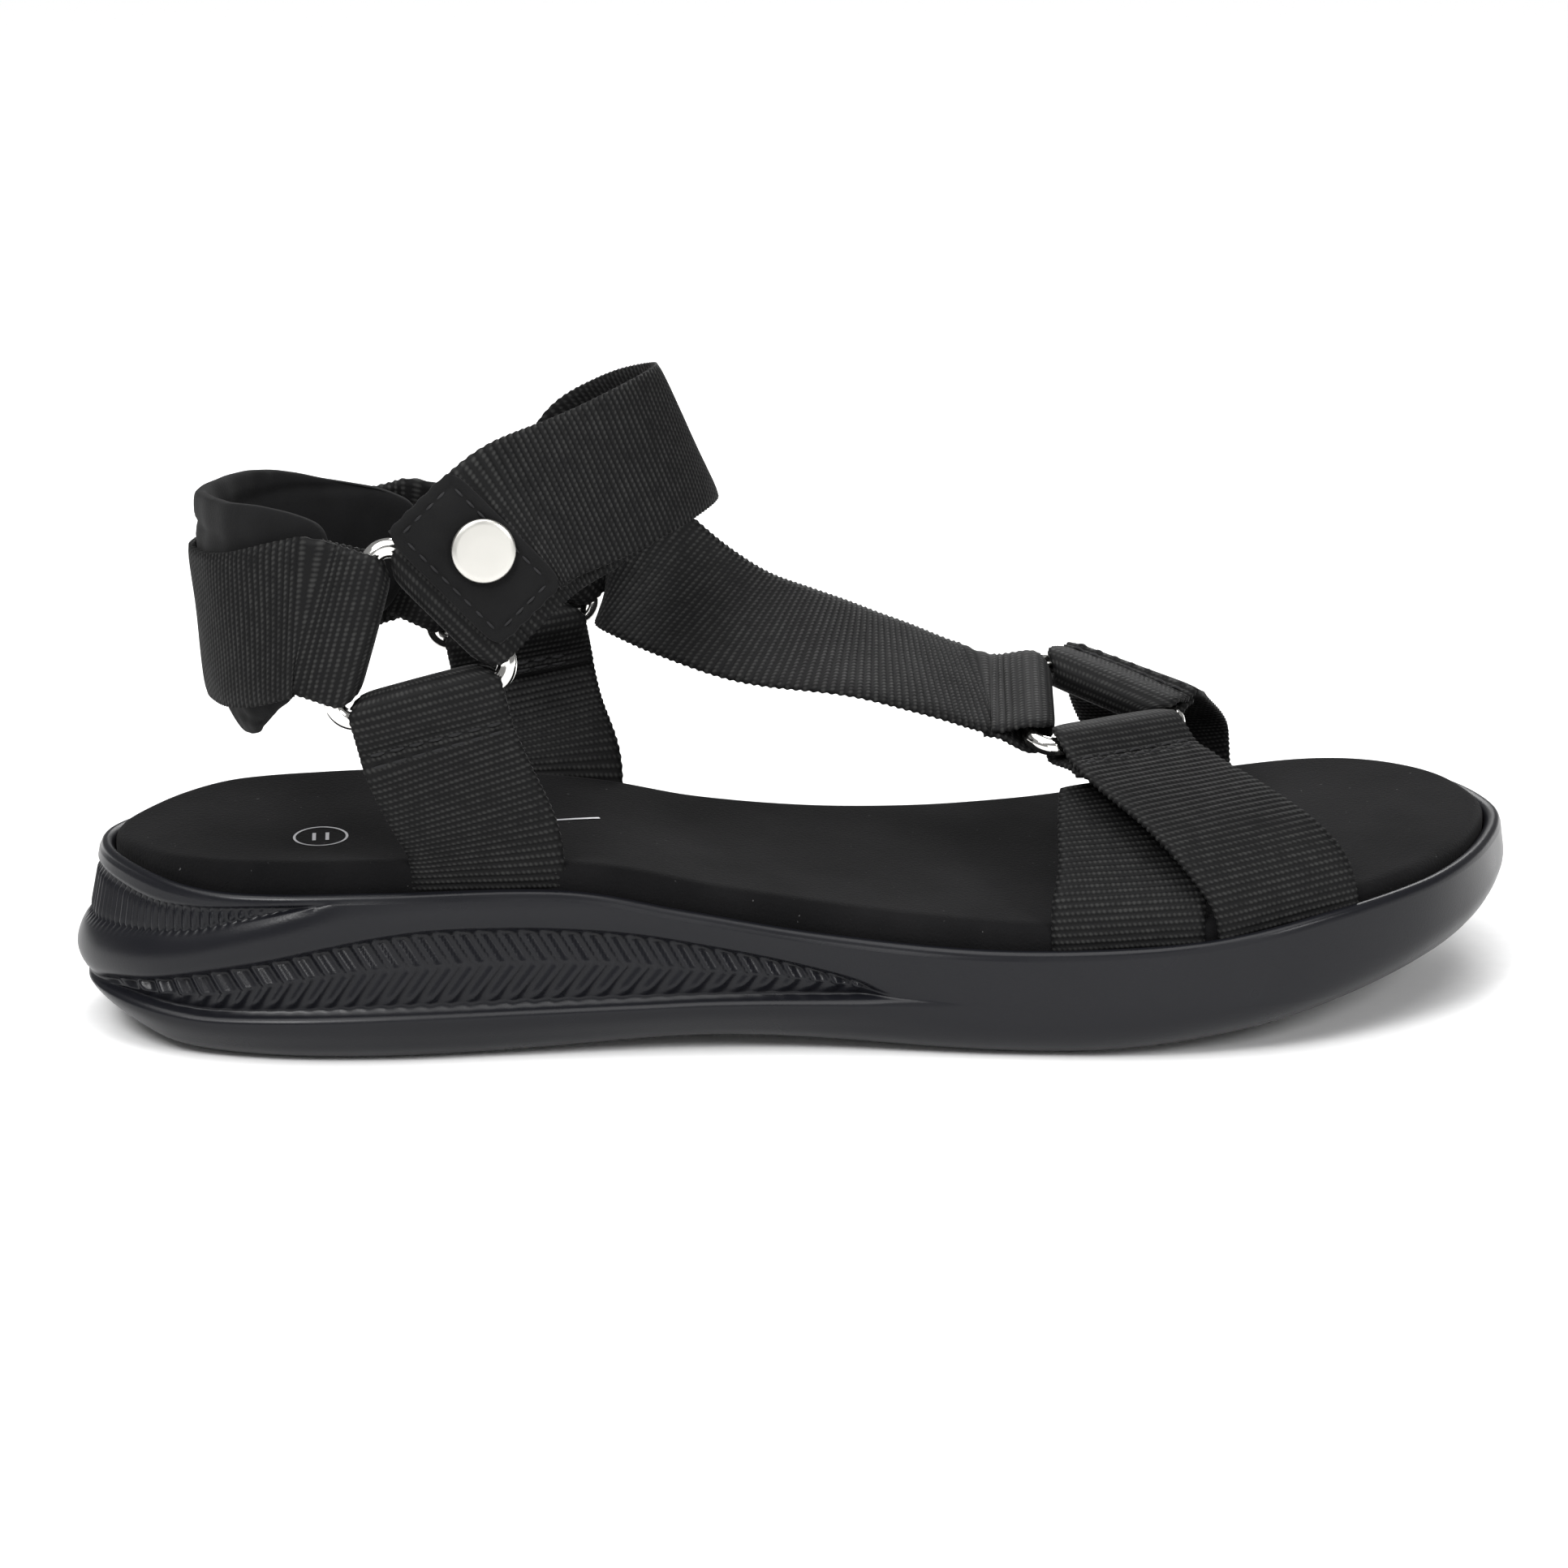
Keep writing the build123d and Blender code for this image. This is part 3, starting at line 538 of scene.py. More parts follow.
def printed(name, path, width, loop=False):
    """A flat line printed on the footbed."""
    path = np.array(path, float)
    verts = []
    count = len(path)
    for i, p in enumerate(path):
        before = path[(i - 1) % count] if loop or i else path[0]
        after = path[(i + 1) % count] if loop or i < count - 1 else path[-1]
        t = unit(after - before)
        n = np.array([-t[1], t[0]])
        for s in (-0.5, 0.5):
            q = p + n * width * s
            verts.append((q[0], q[1], float(bed_height(q[0], q[1])) + PRINT_LIFT))
    return mesh_object(name, verts, grid_faces(count, 2, wrap_rows=loop), M_PRINT)


# ---- rings
class Ring:
    """The plane a ring lies in and the way its three sides face."""

    def __init__(self, centre, normal, along, first_corner):
        self.centre = np.array(centre, float)
        self.normal = unit(np.array(normal, float))
        flat = np.array(along, float)
        self.e1 = unit(flat - self.normal * flat.dot(self.normal))
        self.e2 = np.cross(self.normal, self.e1)
        self.first = first_corner

    def direction(self, degrees):
        a = math.radians(degrees)
        return self.e1 * math.cos(a) + self.e2 * math.sin(a)

    def side(self, k):
        """The middle of a side and the direction away from the centre."""
        leave = self.direction(self.first + 120 * k + 180)
        return self.centre + leave * (RING_SIDE / (2 * math.sqrt(3))), leave


LEAN = math.radians(7.0)
OUTER = Ring((-68.2, -32.0, 71.3), (0, -math.cos(LEAN), math.sin(LEAN)), (1, 0, 0), 103.5)
INNER = Ring((-50.8, 32.0, 66.3), (0, math.cos(LEAN), math.sin(LEAN)), (-1, 0, 0), 80.0)
FORE = Ring((46.8, -1.5, 49.0), (0.118, -0.276, 0.954), (1, -0.09, -0.15), 0.0)


def build_ring(name, ring):
    """Three-sided wire with rounded corners."""
    reach = RING_SIDE / math.sqrt(3)
    path = []
    for k in range(3):
        middle = ring.first + 120 * k
        hub = ring.centre + ring.direction(middle) * (reach - 2 * RING_CORNER)
        for j in range(25):
            path.append(hub + ring.direction(middle - 60 + 120 * j / 24) * RING_CORNER)
    full = []
    for a, b in zip(path, path[1:] + path[:1]):
        n = max(1, int(np.linalg.norm(b - a)))
        full += [a + (b - a) * j / n for j in range(n)]
    count = len(full)
    verts = []
    around = 20
    for i in range(count):
        t = unit(full[(i + 1) % count] - full[i - 1])
        side = np.cross(ring.normal, t)
        for j in range(around):
            a = 2 * math.pi * j / around
            verts.append(full[i] + (side * math.cos(a) + ring.normal * math.sin(a)) * WIRE / 2)
    faces = grid_faces(count, around, wrap_rows=True, wrap_cols=True, flip=True)
    return mesh_object(name, verts, faces, M_CHROME)


# ---- webbing
def same_way(stations, way):
    sign = 1.0 if np.dot(stations[0][1], way) > 0 else -1.0
    return [(m, a * sign, w) for m, a, w in stations]


def join(start, points, end=(), spans=4):
    """A strap's stations from its start through given places to its end."""
    way = start[-1][1]
    via = []
    for place, across in points:
        via += same_way([(np.array(place, float), unit(np.array(across, float)), WEB)], way)
        way = via[-1][1]
    tail = same_way(end, way) if end else []
    anchors = start[-2:] + via + tail[:2]
    fine = smooth([[*m, *a] for m, a, _ in anchors], spans)
    stop = len(fine) - spans - 1 if end else len(fine)
    run = [(row[:3], unit(row[3:]), WEB) for row in fine[spans + 1:stop]]
    return start + run + tail


def loop(ring, k, tail=8.0):
    """Stations of a turn round a side of a ring, from the inner layer to the outer one."""
    middle, leave = ring.side(k)
    out = ring.normal
    across = np.cross(leave, out)
    inner = [(tail, -SEAT), (5.5, -SEAT), (3.2, -TURN * 0.6), (0.5, -TURN)]
    turns = [math.radians(a) for a in range(0, 181, 30)]
    arc = [(-1.0 - TURN * math.sin(a), -TURN * math.cos(a)) for a in turns]
    outer = [(0.5, TURN), (3.2, TURN * 0.6), (5.5, SEAT), (tail + 0.5, SEAT)]
    stations = []
    for u, v in inner + arc + outer:
        room = RING_SIDE - 0.1 - math.sqrt(3) * (1.3 - 2 * u)
        stations.append((middle + leave * u + out * v, across, min(WEB, room)))
    return stations


def backwards(stations):
    return list(reversed(stations))


def flat_run(ring, k, distances, v, sideways=0.0):
    """Stations straight out from a side of a ring, a distance v outside its plane."""
    middle, leave = ring.side(k)
    across = np.cross(leave, ring.normal)
    origin = middle + ring.normal * v + across * sideways
    return [(origin + leave * u, across, WEB) for u in distances]


def frames(stations):
    """Middle, direction, across, normal and width of each station, square to the run."""
    out = []
    last = len(stations) - 1
    for i, (middle, across, width) in enumerate(stations):
        along = unit(stations[min(i + 1, last)][0] - stations[max(i - 1, 0)][0])
        normal = unit(np.cross(along, across))
        out.append((middle, along, np.cross(normal, along), normal, width))
    return out


def lifted(stations, lift, shift=0.0):
    """Stations moved off their face, and across by an amount that fades to the end."""
    last = len(stations) - 1
    return [
        (m + n * lift + a * (shift * (1 - i / last)), a, w)
        for i, (m, _, a, n, w) in enumerate(frames(stations))
    ]


def edge_place(x, side):
    """Where a strap goes in at the rim: place, inward and forward directions."""
    ring = ring_at(STRAP_INSET)
    pick = [i for i in range(COUNT) if ring[i, 1] * side > 0]
    i = min(pick, key=lambda j: abs(ring[j, 0] - x))
    forward = unit(np.append(ring[(i + 8) % COUNT] - ring[i - 8], 0))
    if forward[0] < 0:
        forward = -forward
    inward = unit(np.array([-forward[1], forward[0], 0]) * -side)
    return np.array([ring[i, 0], ring[i, 1], float(z_rim(ring[i, 0]))]), inward, forward


def anchor(x, side):
    """The two stations where a strap comes up out of the rim."""
    place, inward, forward = edge_place(x, side)
    rise = float(z_rim(x + WEB / 2) - z_rim(x - WEB / 2))
    across = unit(forward + np.array([0, 0, rise / WEB]))
    down = unit(np.cross(across, inward))
    if down[2] > 0:
        down = -down
    return [(place + down * z, across, WEB) for z in (-5.0, 3.65)]


QUARTER_LATERAL = [((-59.0, -31.3, 42.0), (1, 0.0, 0.15))]
QUARTER_MEDIAL = [((-46.0, 31.8, 40.0), (1, 0.0, 0.25))]
FORE_LATERAL = [((71.8, -38.0, 31.0), (0.97, 0.2, 0.12)), ((66.0, -32.5, 37.0), (0.95, 0.3, 0.08))]
FORE_MEDIAL = [
    ((69.0, 40.4, 31.0), (0.99, -0.1, 0.12)),
    ((66.3, 36.8, 36.0), (0.98, -0.2, 0.06)),
    ((61.5, 28.0, 43.5), (0.95, -0.3, 0.0)),
]
HEEL = [
    ((-97.0, -21.5, 71.5), (0.02, 0, 1)),
    ((-102.6, 0.0, 68.9), (-0.09, 0, 1)),
    ((-97.0, 21.0, 68.0), (0.02, 0, 1)),
    ((-84.0, 29.0, 68.6), (0.05, 0, 1)),
]
REAR_LEG = [
    ((49.4, -35.5, 29.0), (1, 0.02, 0.02)),
    ((50.6, -27.0, 34.6), (1, 0.1, 0.02)),
    ((52.0, -19.0, 38.6), (1, 0.22, 0.02)),
    ((52.6, -15.0, 40.2), (1, 0.3, 0.02)),
]
ANKLE = [
    ((-37.5, -23.5, 95.0), (-0.50, 0.12, 0.86)),
    ((-27.0, -13.5, 97.8), (-0.43, 0.00, 0.90)),
    ((-21.0, 1.0, 98.2), (-0.40, -0.12, 0.91)),
    ((-25.5, 16.0, 95.3), (-0.45, -0.12, 0.88)),
    ((-34.5, 28.0, 88.3), (-0.56, -0.10, 0.82)),
]
INSTEP = [
    ((18.0, -3.0, 57.2), (0.05, 0.93, 0.36)),
    ((3.4, -3.0, 61.7), (0.0, 0.90, 0.43)),
    ((-10.0, 2.5, 63.8), (-0.05, 0.86, 0.50)),
    ((-22.5, 11.5, 68.2), (-0.18, 0.77, 0.60)),
    ((-32.5, 21.5, 74.0), (-0.42, 0.48, 0.74)),
]


def leg(ring, k, points, x, side):
    return join(backwards(anchor(x, side)), points, backwards(loop(ring, k)))


def over_ankle():
    start = flat_run(OUTER, 1, (1.0, 5.0, 9.0, 13.0, 15.6, 17.0), SEAT + LAYER_GAP, -END_SHIFT)
    return join(start, ANKLE, backwards(loop(INNER, 2, PASS_LENGTH)))


def instep():
    return join(loop(FORE, 0), INSTEP, loop(INNER, 2, PASS_LENGTH))


def curve_through(rows, spans=8):
    """Centripetal Catmull-Rom through unevenly spaced rows of numbers."""
    rows = np.vstack([2 * rows[0] - rows[1], rows, 2 * rows[-1] - rows[-2]])
    gaps = np.sqrt(np.linalg.norm(np.diff(rows[:, :3], axis=0), axis=1)) + 1e-6
    knots = np.concatenate([[0], np.cumsum(gaps)])
    out = []
    for i in range(1, len(rows) - 2):
        p0, p1, p2, p3 = rows[i - 1:i + 3]
        t0, t1, t2, t3 = knots[i - 1:i + 3]
        for k in range(spans):
            t = t1 + (t2 - t1) * k / spans
            a1 = (p0 * (t1 - t) + p1 * (t - t0)) / (t1 - t0)
            a2 = (p1 * (t2 - t) + p2 * (t - t1)) / (t2 - t1)
            a3 = (p2 * (t3 - t) + p3 * (t - t2)) / (t3 - t2)
            b1 = (a1 * (t2 - t) + a2 * (t - t0)) / (t2 - t0)
            b2 = (a2 * (t3 - t) + a3 * (t - t1)) / (t3 - t1)
            out.append((b1 * (t2 - t) + b2 * (t - t1)) / (t2 - t1))
    out.append(rows[-2])
    return np.array(out)


def blurred(rows, sigma):
    """Rows averaged along the list, ends kept."""
    reach = int(3 * sigma) + 1
    weights = np.exp(-0.5 * (np.arange(-reach, reach + 1) / sigma) ** 2)
    weights /= weights.sum()
    first = 2 * rows[0] - rows[reach:0:-1]
    last = 2 * rows[-1] - rows[-2:-reach - 2:-1]
    padded = np.vstack([first, rows, last])
    return np.stack([np.convolve(padded[:, k], weights, "valid") for k in range(rows.shape[1])], 1)


def from_rings(middle):
    """Distance of each place from the nearest ring's centre."""
    return np.min([np.linalg.norm(middle - ring.centre, axis=1) for ring in (OUTER, INNER, FORE)], axis=0)


def dense(stations, pitch, shear=0.0):
    """Stations resampled evenly along a rounded path, as distances, middles, directions and widths."""
    fine = curve_through(np.array([[*m, *a, w] for m, a, w in stations], float))
    run = running(fine[:, :3])
    count = max(8, int(run[-1] / pitch))
    want = np.linspace(0, run[-1], count)
    rows = sampled(want, run, fine)
    step_size = want[1] - want[0]
    sharp = blurred(rows, 0.45 / step_size)
    soft = blurred(rows, min(3.4 / step_size, count / 8))
    away = step(16.0, 23.0, from_rings(rows[:, :3]))[:, None]
    given = blurred(rows, min(5.5 / step_size, count / 8))[:, 3:6]
    rows = sharp * (1 - away) + soft * away
    middle = rows[:, :3]
    along = units(np.gradient(middle, axis=0))
    normal = units(np.cross(along, given))
    # the weave may shear where a strap turns in its own plane, so its ribs stay parallel
    straight = np.cross(normal, along)
    straight *= np.sign(np.sum(straight * given, axis=1))[:, None]
    slanted = given - normal * np.sum(given * normal, axis=1)[:, None]
    across = units(straight * (1 - shear) + slanted * shear)
    square = np.abs(np.sum(straight * across, axis=1))
    return want, middle, along, across, normal, rows[:, 6] / np.maximum(square, 0.85)


def build_webbing(
    name, stations, mat=M_WEB, thick=THICK, width=None, rib=0.26, seed=1, trim=(0, 0), shear=0.0
):
    """A woven strap: ribs across it, a scalloped edge and a softly wandering surface."""
    run, middle, _, across, normal, wide = dense(stations, WEAVE_STEP, shear)
    keep = (run >= trim[0]) & (run <= run[-1] - trim[1])
    run, middle, across, normal, wide = run[keep], middle[keep], across[keep], normal[keep], wide[keep]
    if width:
        wide = np.full_like(wide, width)
    rng = random.Random(seed)
    p = [rng.uniform(0, 6.28) for _ in range(6)]
    wave = 0.5 + 0.5 * np.cos(2 * np.pi * run / RIB_PITCH)
    wander = 0.18 * np.sin(run / 7.3 + p[0]) + 0.10 * np.sin(run / 3.1 + p[1])
    # pulled tight round a ring's bar, so flatter there
    calm = 1 - 0.75 * step(14.0, 11.0, from_rings(middle))
    cols = 22
    rows = []
    uvs = []
    for side in (1, -1):
        for s in np.linspace(-side, side, cols):
            edge = abs(s) ** 10
            half = wide / 2 + 0.16 * (wave - 0.5) * edge
            level = thick / 2 * (1 - 0.45 * edge) - 0.12 * (1 - calm)
            level = level + rib * (wave - 0.5) * (1 - 0.3 * edge) * calm
            ripple = 0.06 * np.sin(run / 5.0 + 3 * s + p[2]) + 0.05 * np.sin(run / 2.2 - 4 * s + p[3])
            place = middle + across * (half * s + wander * 0.35)[:, None]
            rows.append(place + normal * (side * level + ripple * calm)[:, None])
            uvs.append(np.column_stack([run, np.full_like(run, s * WEB / 2)]))
    around = len(rows)
    verts = np.stack(rows, 1).reshape(-1, 3)
    uv = np.stack(uvs, 1).reshape(-1, 2)
    faces = grid_faces(len(run), around, wrap_cols=True) + end_faces(len(run), around)
    return mesh_object(name, verts, faces, mat, uv)


def stitches(name, points, normals, length=2.3, gap=0.9, radius=0.26, sink=0.05):
    """A row of thread stitches laid along a path on a surface."""
    pts = np.array(points, float)
    nrm = np.array(normals, float)
    run = running(pts)
    verts = []
    faces = []
    steps, around = 6, 8
    for i in range(int(run[-1] // (length + gap))):
        a = i * (length + gap) + gap / 2
        faces += grid_faces(steps + 1, around, wrap_cols=True, base=len(verts))
        for j in range(steps + 1):
            s = a + length * j / steps
            p = sampled(s, run, pts)
            n = unit(sampled(s, run, nrm))
            q = sampled(min(s + 0.2, run[-1]), run, pts)
            t = unit(q - p) if np.linalg.norm(q - p) > 1e-6 else unit(pts[-1] - pts[-2])
            b = np.cross(n, t)
            arch = math.sin(math.pi * j / steps)
            r = radius * (0.55 + 0.45 * arch)
            rise = radius * 0.9 * arch - sink - radius * 0.5 * (1 - arch)
            for m in range(around):
                g = 2 * math.pi * m / around
                verts.append(p + n * (rise + r * math.sin(g)) + b * (r * math.cos(g)))
    return mesh_object(name, verts, faces, M_THREAD)


def seam_line(stations, place, outward, shear, inset=1.3):
    """Points and normals of a stitch line across a strap, on its face towards a direction."""
    _, middle, _, across, normal, wide = dense(stations, 0.25, shear)
    i = int(np.argmin(np.linalg.norm(middle - place, axis=1)))
    face = normal[i] * np.sign(normal[i].dot(outward))
    half = wide[i] / 2 - inset
    pts = [middle[i] + across[i] * s + face * (THICK / 2 + 0.04) for s in np.linspace(-half, half, 30)]
    return pts, [face] * 30


def finish_piece(obj, body, slot, *nodes):
    """Put a piece on its body, and in place of the CAD nodes it stands for. The slot is not used."""
    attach(obj, body)
    if nodes:
        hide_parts(*nodes)


# ---- heel pad
# Heights of the pad's edges and its distance inside the strap, by station from the outer ring to the inner.
PAD_END = 20
PAD_TOP = [
    (0, 86.5), (0.6, 89.0), (1.5, 91.2), (3, 92.2), (4, 92.2), (6, 91.2), (8, 90.2), (10, 89.8), (12, 89.4),
    (14, 88.4), (16, 86.6), (18, 84.6), (20, 80.5),
]
PAD_BOTTOM = [
    (0, 63.0), (1.0, 62.0), (1.6, 60.6), (2.2, 58.8), (2.8, 57.0), (3.4, 55.4), (4, 54.0), (5, 52.4),
    (6, 51.0), (7, 50.0), (8, 49.4), (9, 49.2), (10, 49.6), (11, 50.4), (12, 51.8), (13, 54.0),
    (14, 57.0), (15, 60.0), (16, 61.5), (20, 62.5),
]
PAD_LIFT = [(0, 4.8), (2, 4.5), (4, 3.4), (6, 3.1), (14, 3.4), (16, 4.2), (18, 4.6), (20, 4.8)]
PAD_CHANNEL_TOP = 85.2
PAD_CHANNEL_LOW = 57.0


def by_station(q, table):
    fine = smooth(table, 8)
    return np.interp(q, fine[:, 0], fine[:, 1])


def build_pad():
    """A soft lining behind the heel strap, with rounded edges and a tongue that tucks in at the back."""
    stations = join(loop(OUTER, 2), HEEL, backwards(loop(INNER, 1)))
    first = len(loop(OUTER, 2)) - 1
    fine = smooth(np.array([[*m, *a] for m, a, _ in stations[first:first + PAD_END + 1]]), 8)
    place_of = np.linspace(0, PAD_END, len(fine))
    columns = 220
    q = np.linspace(0.0, PAD_END, columns)
    middle = sampled(q, place_of, fine[:, :3])
    across = sampled(q, place_of, fine[:, 3:])
    normal = units(np.cross(units(np.gradient(middle, axis=0)), across))
    top, bottom, lift = (by_station(q, table) for table in (PAD_TOP, PAD_BOTTOM, PAD_LIFT))
    ends = np.minimum(q, PAD_END - q)
    taper = np.sqrt(np.clip(1 - (1 - np.clip(ends / 1.3, 0, 1)) ** 2, 0.02, 1))
    around = 72
    verts = []
    uvs = []
    for i in range(columns):
        half = (top[i] - bottom[i]) / 2 * (0.35 + 0.65 * taper[i])
        level = (top[i] + bottom[i]) / 2 - middle[i][2]
        rise = across[i] / across[i][2]
        for j in range(around):
            a = 2 * math.pi * j / around
            s, c = math.sin(a), math.cos(a)
            h = math.copysign(abs(s) ** 0.32, s)
            z = level + half * h
            height = middle[i][2] + z
            thick = math.copysign(abs(c) ** 0.62, c) * (2.15 if c > 0 else 2.05)
            # crowned on both faces, with sewn channels along the strap's two edges
            thick *= 0.80 + 0.28 * (1 - h * h)
            if abs(c) > 0.3:
                channel = math.exp(-((height - PAD_CHANNEL_TOP) / 0.9) ** 2) * 0.55
                channel += math.exp(-((height - PAD_CHANNEL_LOW) / 0.9) ** 2) * 0.45
                thick -= math.copysign(channel, c)
            tuck = 0.20 * max(0.0, 60.0 - height) ** 1.1 + 0.06 * max(0.0, height - 86.0) ** 1.3
            fold = 0.22 * math.sin(q[i] * 1.9 + h * 2.2) + 0.14 * math.sin(q[i] * 4.3 - h * 3.0)
            off = lift[i] + thick * taper[i] + tuck * (1 if height < 70 else -0.6) + fold * 0.6
            verts.append(middle[i] + normal[i] * off + rise * z)
            uvs.append((q[i] * 5, z))
    faces = grid_faces(columns, around, wrap_cols=True) + end_faces(columns, around)
    return mesh_object("heel_pad_soft", verts, faces, M_PAD, uvs)


# ---- closure
SHORT_FACE = SEAT + LAYER / 2
FLAP_INSIDE = SEAT + LAYER_GAP - LAYER / 2
PATCH_TOP = FLAP_INSIDE + LAYER + FIT + TAPE


def stud_place():
    """The press stud's middle on the ring's plane, and the directions along and across the strap."""
    middle, leave = OUTER.side(1)
    across = np.cross(leave, OUTER.normal)
    return middle + leave * STUD_AT - across * END_SHIFT, leave, across


def lathe(name, profile, mat, steps=64):
    """A turned piece on the press stud's line: (radius, distance outside the ring's plane)."""
    origin, leave, across = stud_place()
    verts = []
    for r, z in profile:
        for k in range(steps):
            a = 2 * math.pi * k / steps
            verts.append(origin + OUTER.normal * z + leave * (r * math.cos(a)) + across * (r * math.sin(a)))
    faces = grid_faces(len(profile), steps, wrap_cols=True) + end_faces(len(profile), steps)
    return mesh_object(name, verts, faces, mat)


def rounded(points, radius=0.18, steps=5):
    """A profile with its corners rounded."""
    out = [points[0]]
    for before, here, after in zip(points, points[1:], points[2:]):
        b, p, a = (np.array(v, float) for v in (before, here, after))
        r = min(radius, np.linalg.norm(b - p) * 0.45, np.linalg.norm(a - p) * 0.45)
        start, end = p + unit(b - p) * r, p + unit(a - p) * r
        for k in range(steps + 1):
            t = k / steps
            out.append(tuple(start * (1 - t) ** 2 + p * 2 * t * (1 - t) + end * t * t))
    out.append(points[-1])
    return out


PATCH_START = 0.1  # along the strap from the ring's bar
PATCH_END = 15.2
PATCH_HALF = 12.75
PATCH_SEAM = 1.9  # stitch line in from the edge


def patch_place(s, t):
    """Along, across and up on the patch's top face, for s and t from -1 to 1."""
    reach = (PATCH_END - PATCH_START) / 2
    centre = (PATCH_START + PATCH_END) / 2
    edge = min((1 - abs(s)) * (PATCH_END - PATCH_START) / 2, (1 - abs(t)) * PATCH_HALF)
    border = 0.62 * (1 - math.sqrt(max(0.0, 1 - (1 - min(edge / 0.9, 1)) ** 2)))
    seam = 0.26 * math.exp(-((edge - PATCH_SEAM) / 0.42) ** 2)
    ruffle = 0.05 * math.sin(s * 9 + t * 4) + 0.05 * math.sin(t * 13 - s * 3)
    from_stud = math.hypot((s * reach + centre) - STUD_AT, t * PATCH_HALF)
    dimple = 0.25 * math.exp(-max(0.0, from_stud - 4.9) ** 2 / 2.2)
    corner = 0.9 * max(0.0, abs(s) ** 9 * abs(t) ** 9)
    u = centre + s * reach - math.copysign(corner, s)
    v = t * PATCH_HALF - math.copysign(corner, t) + 0.10 * math.sin(u * 2.1) * (abs(t) > 0.8)
    return u, v, PATCH_TOP + 0.05 - border - seam - dimple + ruffle * min(edge / 2, 1)


def build_patch():
    """A folded, stitched patch over the end of the closing strap, and its four rows of thread."""
    middle, leave = OUTER.side(1)
    across = np.cross(leave, OUTER.normal)
    origin = middle - across * END_SHIFT
    low = PATCH_TOP - 0.95
    n, m = 70, 110
    top_rows = []
    bottom_rows = []
    uvs = []
    for i in range(n):
        s = -1 + 2 * i / (n - 1)
        s = math.copysign(abs(s) ** 0.8, s)
        for j in range(m):
            t = -1 + 2 * j / (m - 1)
            t = math.copysign(abs(t) ** 0.8, t)
            u, v, rise = patch_place(s, t)
            top_rows.append(origin + leave * u + across * v + OUTER.normal * rise)
            bottom_rows.append(origin + leave * u + across * v + OUTER.normal * low)
            uvs.append((u, v))
    faces = grid_faces(n, m) + grid_faces(n, m, base=n * m, flip=True)
    rim = [i * m for i in range(n)] + [(n - 1) * m + j for j in range(1, m)]
    rim += [i * m + m - 1 for i in range(n - 2, -1, -1)] + [j for j in range(m - 2, 0, -1)]
    faces += [(a, b, b + n * m, a + n * m) for a, b in zip(rim, rim[1:] + rim[:1])]
    patch = mesh_object("closure_patch_soft", top_rows + bottom_rows, faces, M_PATCH, uvs + uvs)
    near, far, side = PATCH_START + PATCH_SEAM, PATCH_END - PATCH_SEAM, PATCH_HALF - PATCH_SEAM
    corners = [(near, -side), (far, -side), (far, side), (near, side)]
    threads = []
    for k, ((a0, b0), (a1, b1)) in enumerate(zip(corners, corners[1:] + corners[:1])):
        pts = []
        for f in np.linspace(0.02, 0.98, 20):
            flat = origin + leave * (a0 + (a1 - a0) * f) + across * (b0 + (b1 - b0) * f)
            pts.append(flat + OUTER.normal * (PATCH_TOP - 0.17))
        threads.append(stitches(f"patch_stitches_{k + 1}", pts, [OUTER.normal] * 20, 1.7, 0.8, 0.20))
    return patch, threads


# ---- assembly
def dress_sole():
    finish_piece(build_side(), "sandal", "sole_rubber", "sole")
    finish_piece(build_tread(), "sandal", "sole_rubber")


def dress_footbed():
    """The footbed and its printed marks: an oval with two bars, and a plain line."""
    finish_piece(build_footbed(), "sandal", "footbed_cover", "footbed_cover", "footbed_foam", "insole_board")
    turns = np.linspace(0, 2 * math.pi, 60, endpoint=False)
    oval = [(-83.8 + 4.4 * math.cos(a), -8.9 + 5.8 * math.sin(a)) for a in turns]
    finish_piece(printed("size_mark", oval, 0.42, loop=True), "sandal", "footbed_cover")
    for k, x in enumerate((-84.9, -82.7)):
        bar = [(x, y) for y in np.linspace(-11.2, -6.6, 8)]
        finish_piece(printed(f"size_bar_{k + 1}", bar, 0.6), "sandal", "footbed_cover")
    line = [(x, -4.2 + (x + 50.4) * 0.36) for x in np.linspace(-52.0, -36.5, 24)]
    finish_piece(printed("print_line", line, 0.7), "sandal", "footbed_cover")


def dress_legs():
    """The straps from rim to ring and the heel strap, with two rows of thread where a leg is sewn."""
    legs = [
        ("quarter_strap_lateral", leg(OUTER, 0, QUARTER_LATERAL, -56.5, -1), 0.5),
        ("quarter_strap_medial", leg(INNER, 0, QUARTER_MEDIAL, -43.5, 1), 0.5),
        ("forefoot_strap_lateral_front", leg(FORE, 1, FORE_LATERAL, 74.4, -1), 1.0),
        ("forefoot_strap_medial", leg(FORE, 2, FORE_MEDIAL, 69.5, 1), 1.0),
        ("forefoot_strap_lateral_rear", join(backwards(anchor(47.4, -1)), REAR_LEG), 1.0),
        ("heel_strap", join(loop(OUTER, 2), HEEL, backwards(loop(INNER, 1))), 0.5),
    ]
    for seed, (name, stations, shear) in enumerate(legs, 3):
        strap = build_webbing(name + "_woven", stations, seed=seed, shear=shear)
        finish_piece(strap, "sandal", "webbing", name)
    looped = ((OUTER, 0), (INNER, 0), (FORE, 1), (FORE, 2))
    for seam, ((_, stations, shear), (ring, side)) in enumerate(zip(legs, looped), 1):
        bar, leave = ring.side(side)
        for row, reach in enumerate((6.0, 7.6), 1):
            for way, label in ((1, "out"), (-1, "in")):
                place = bar + leave * reach + ring.normal * SEAT * way
                pts, normals = seam_line(stations, place, ring.normal * way, shear)
                thread = stitches(f"seam_{seam}_{row}_{label}", pts, normals)
                finish_piece(thread, "sandal", "webbing")


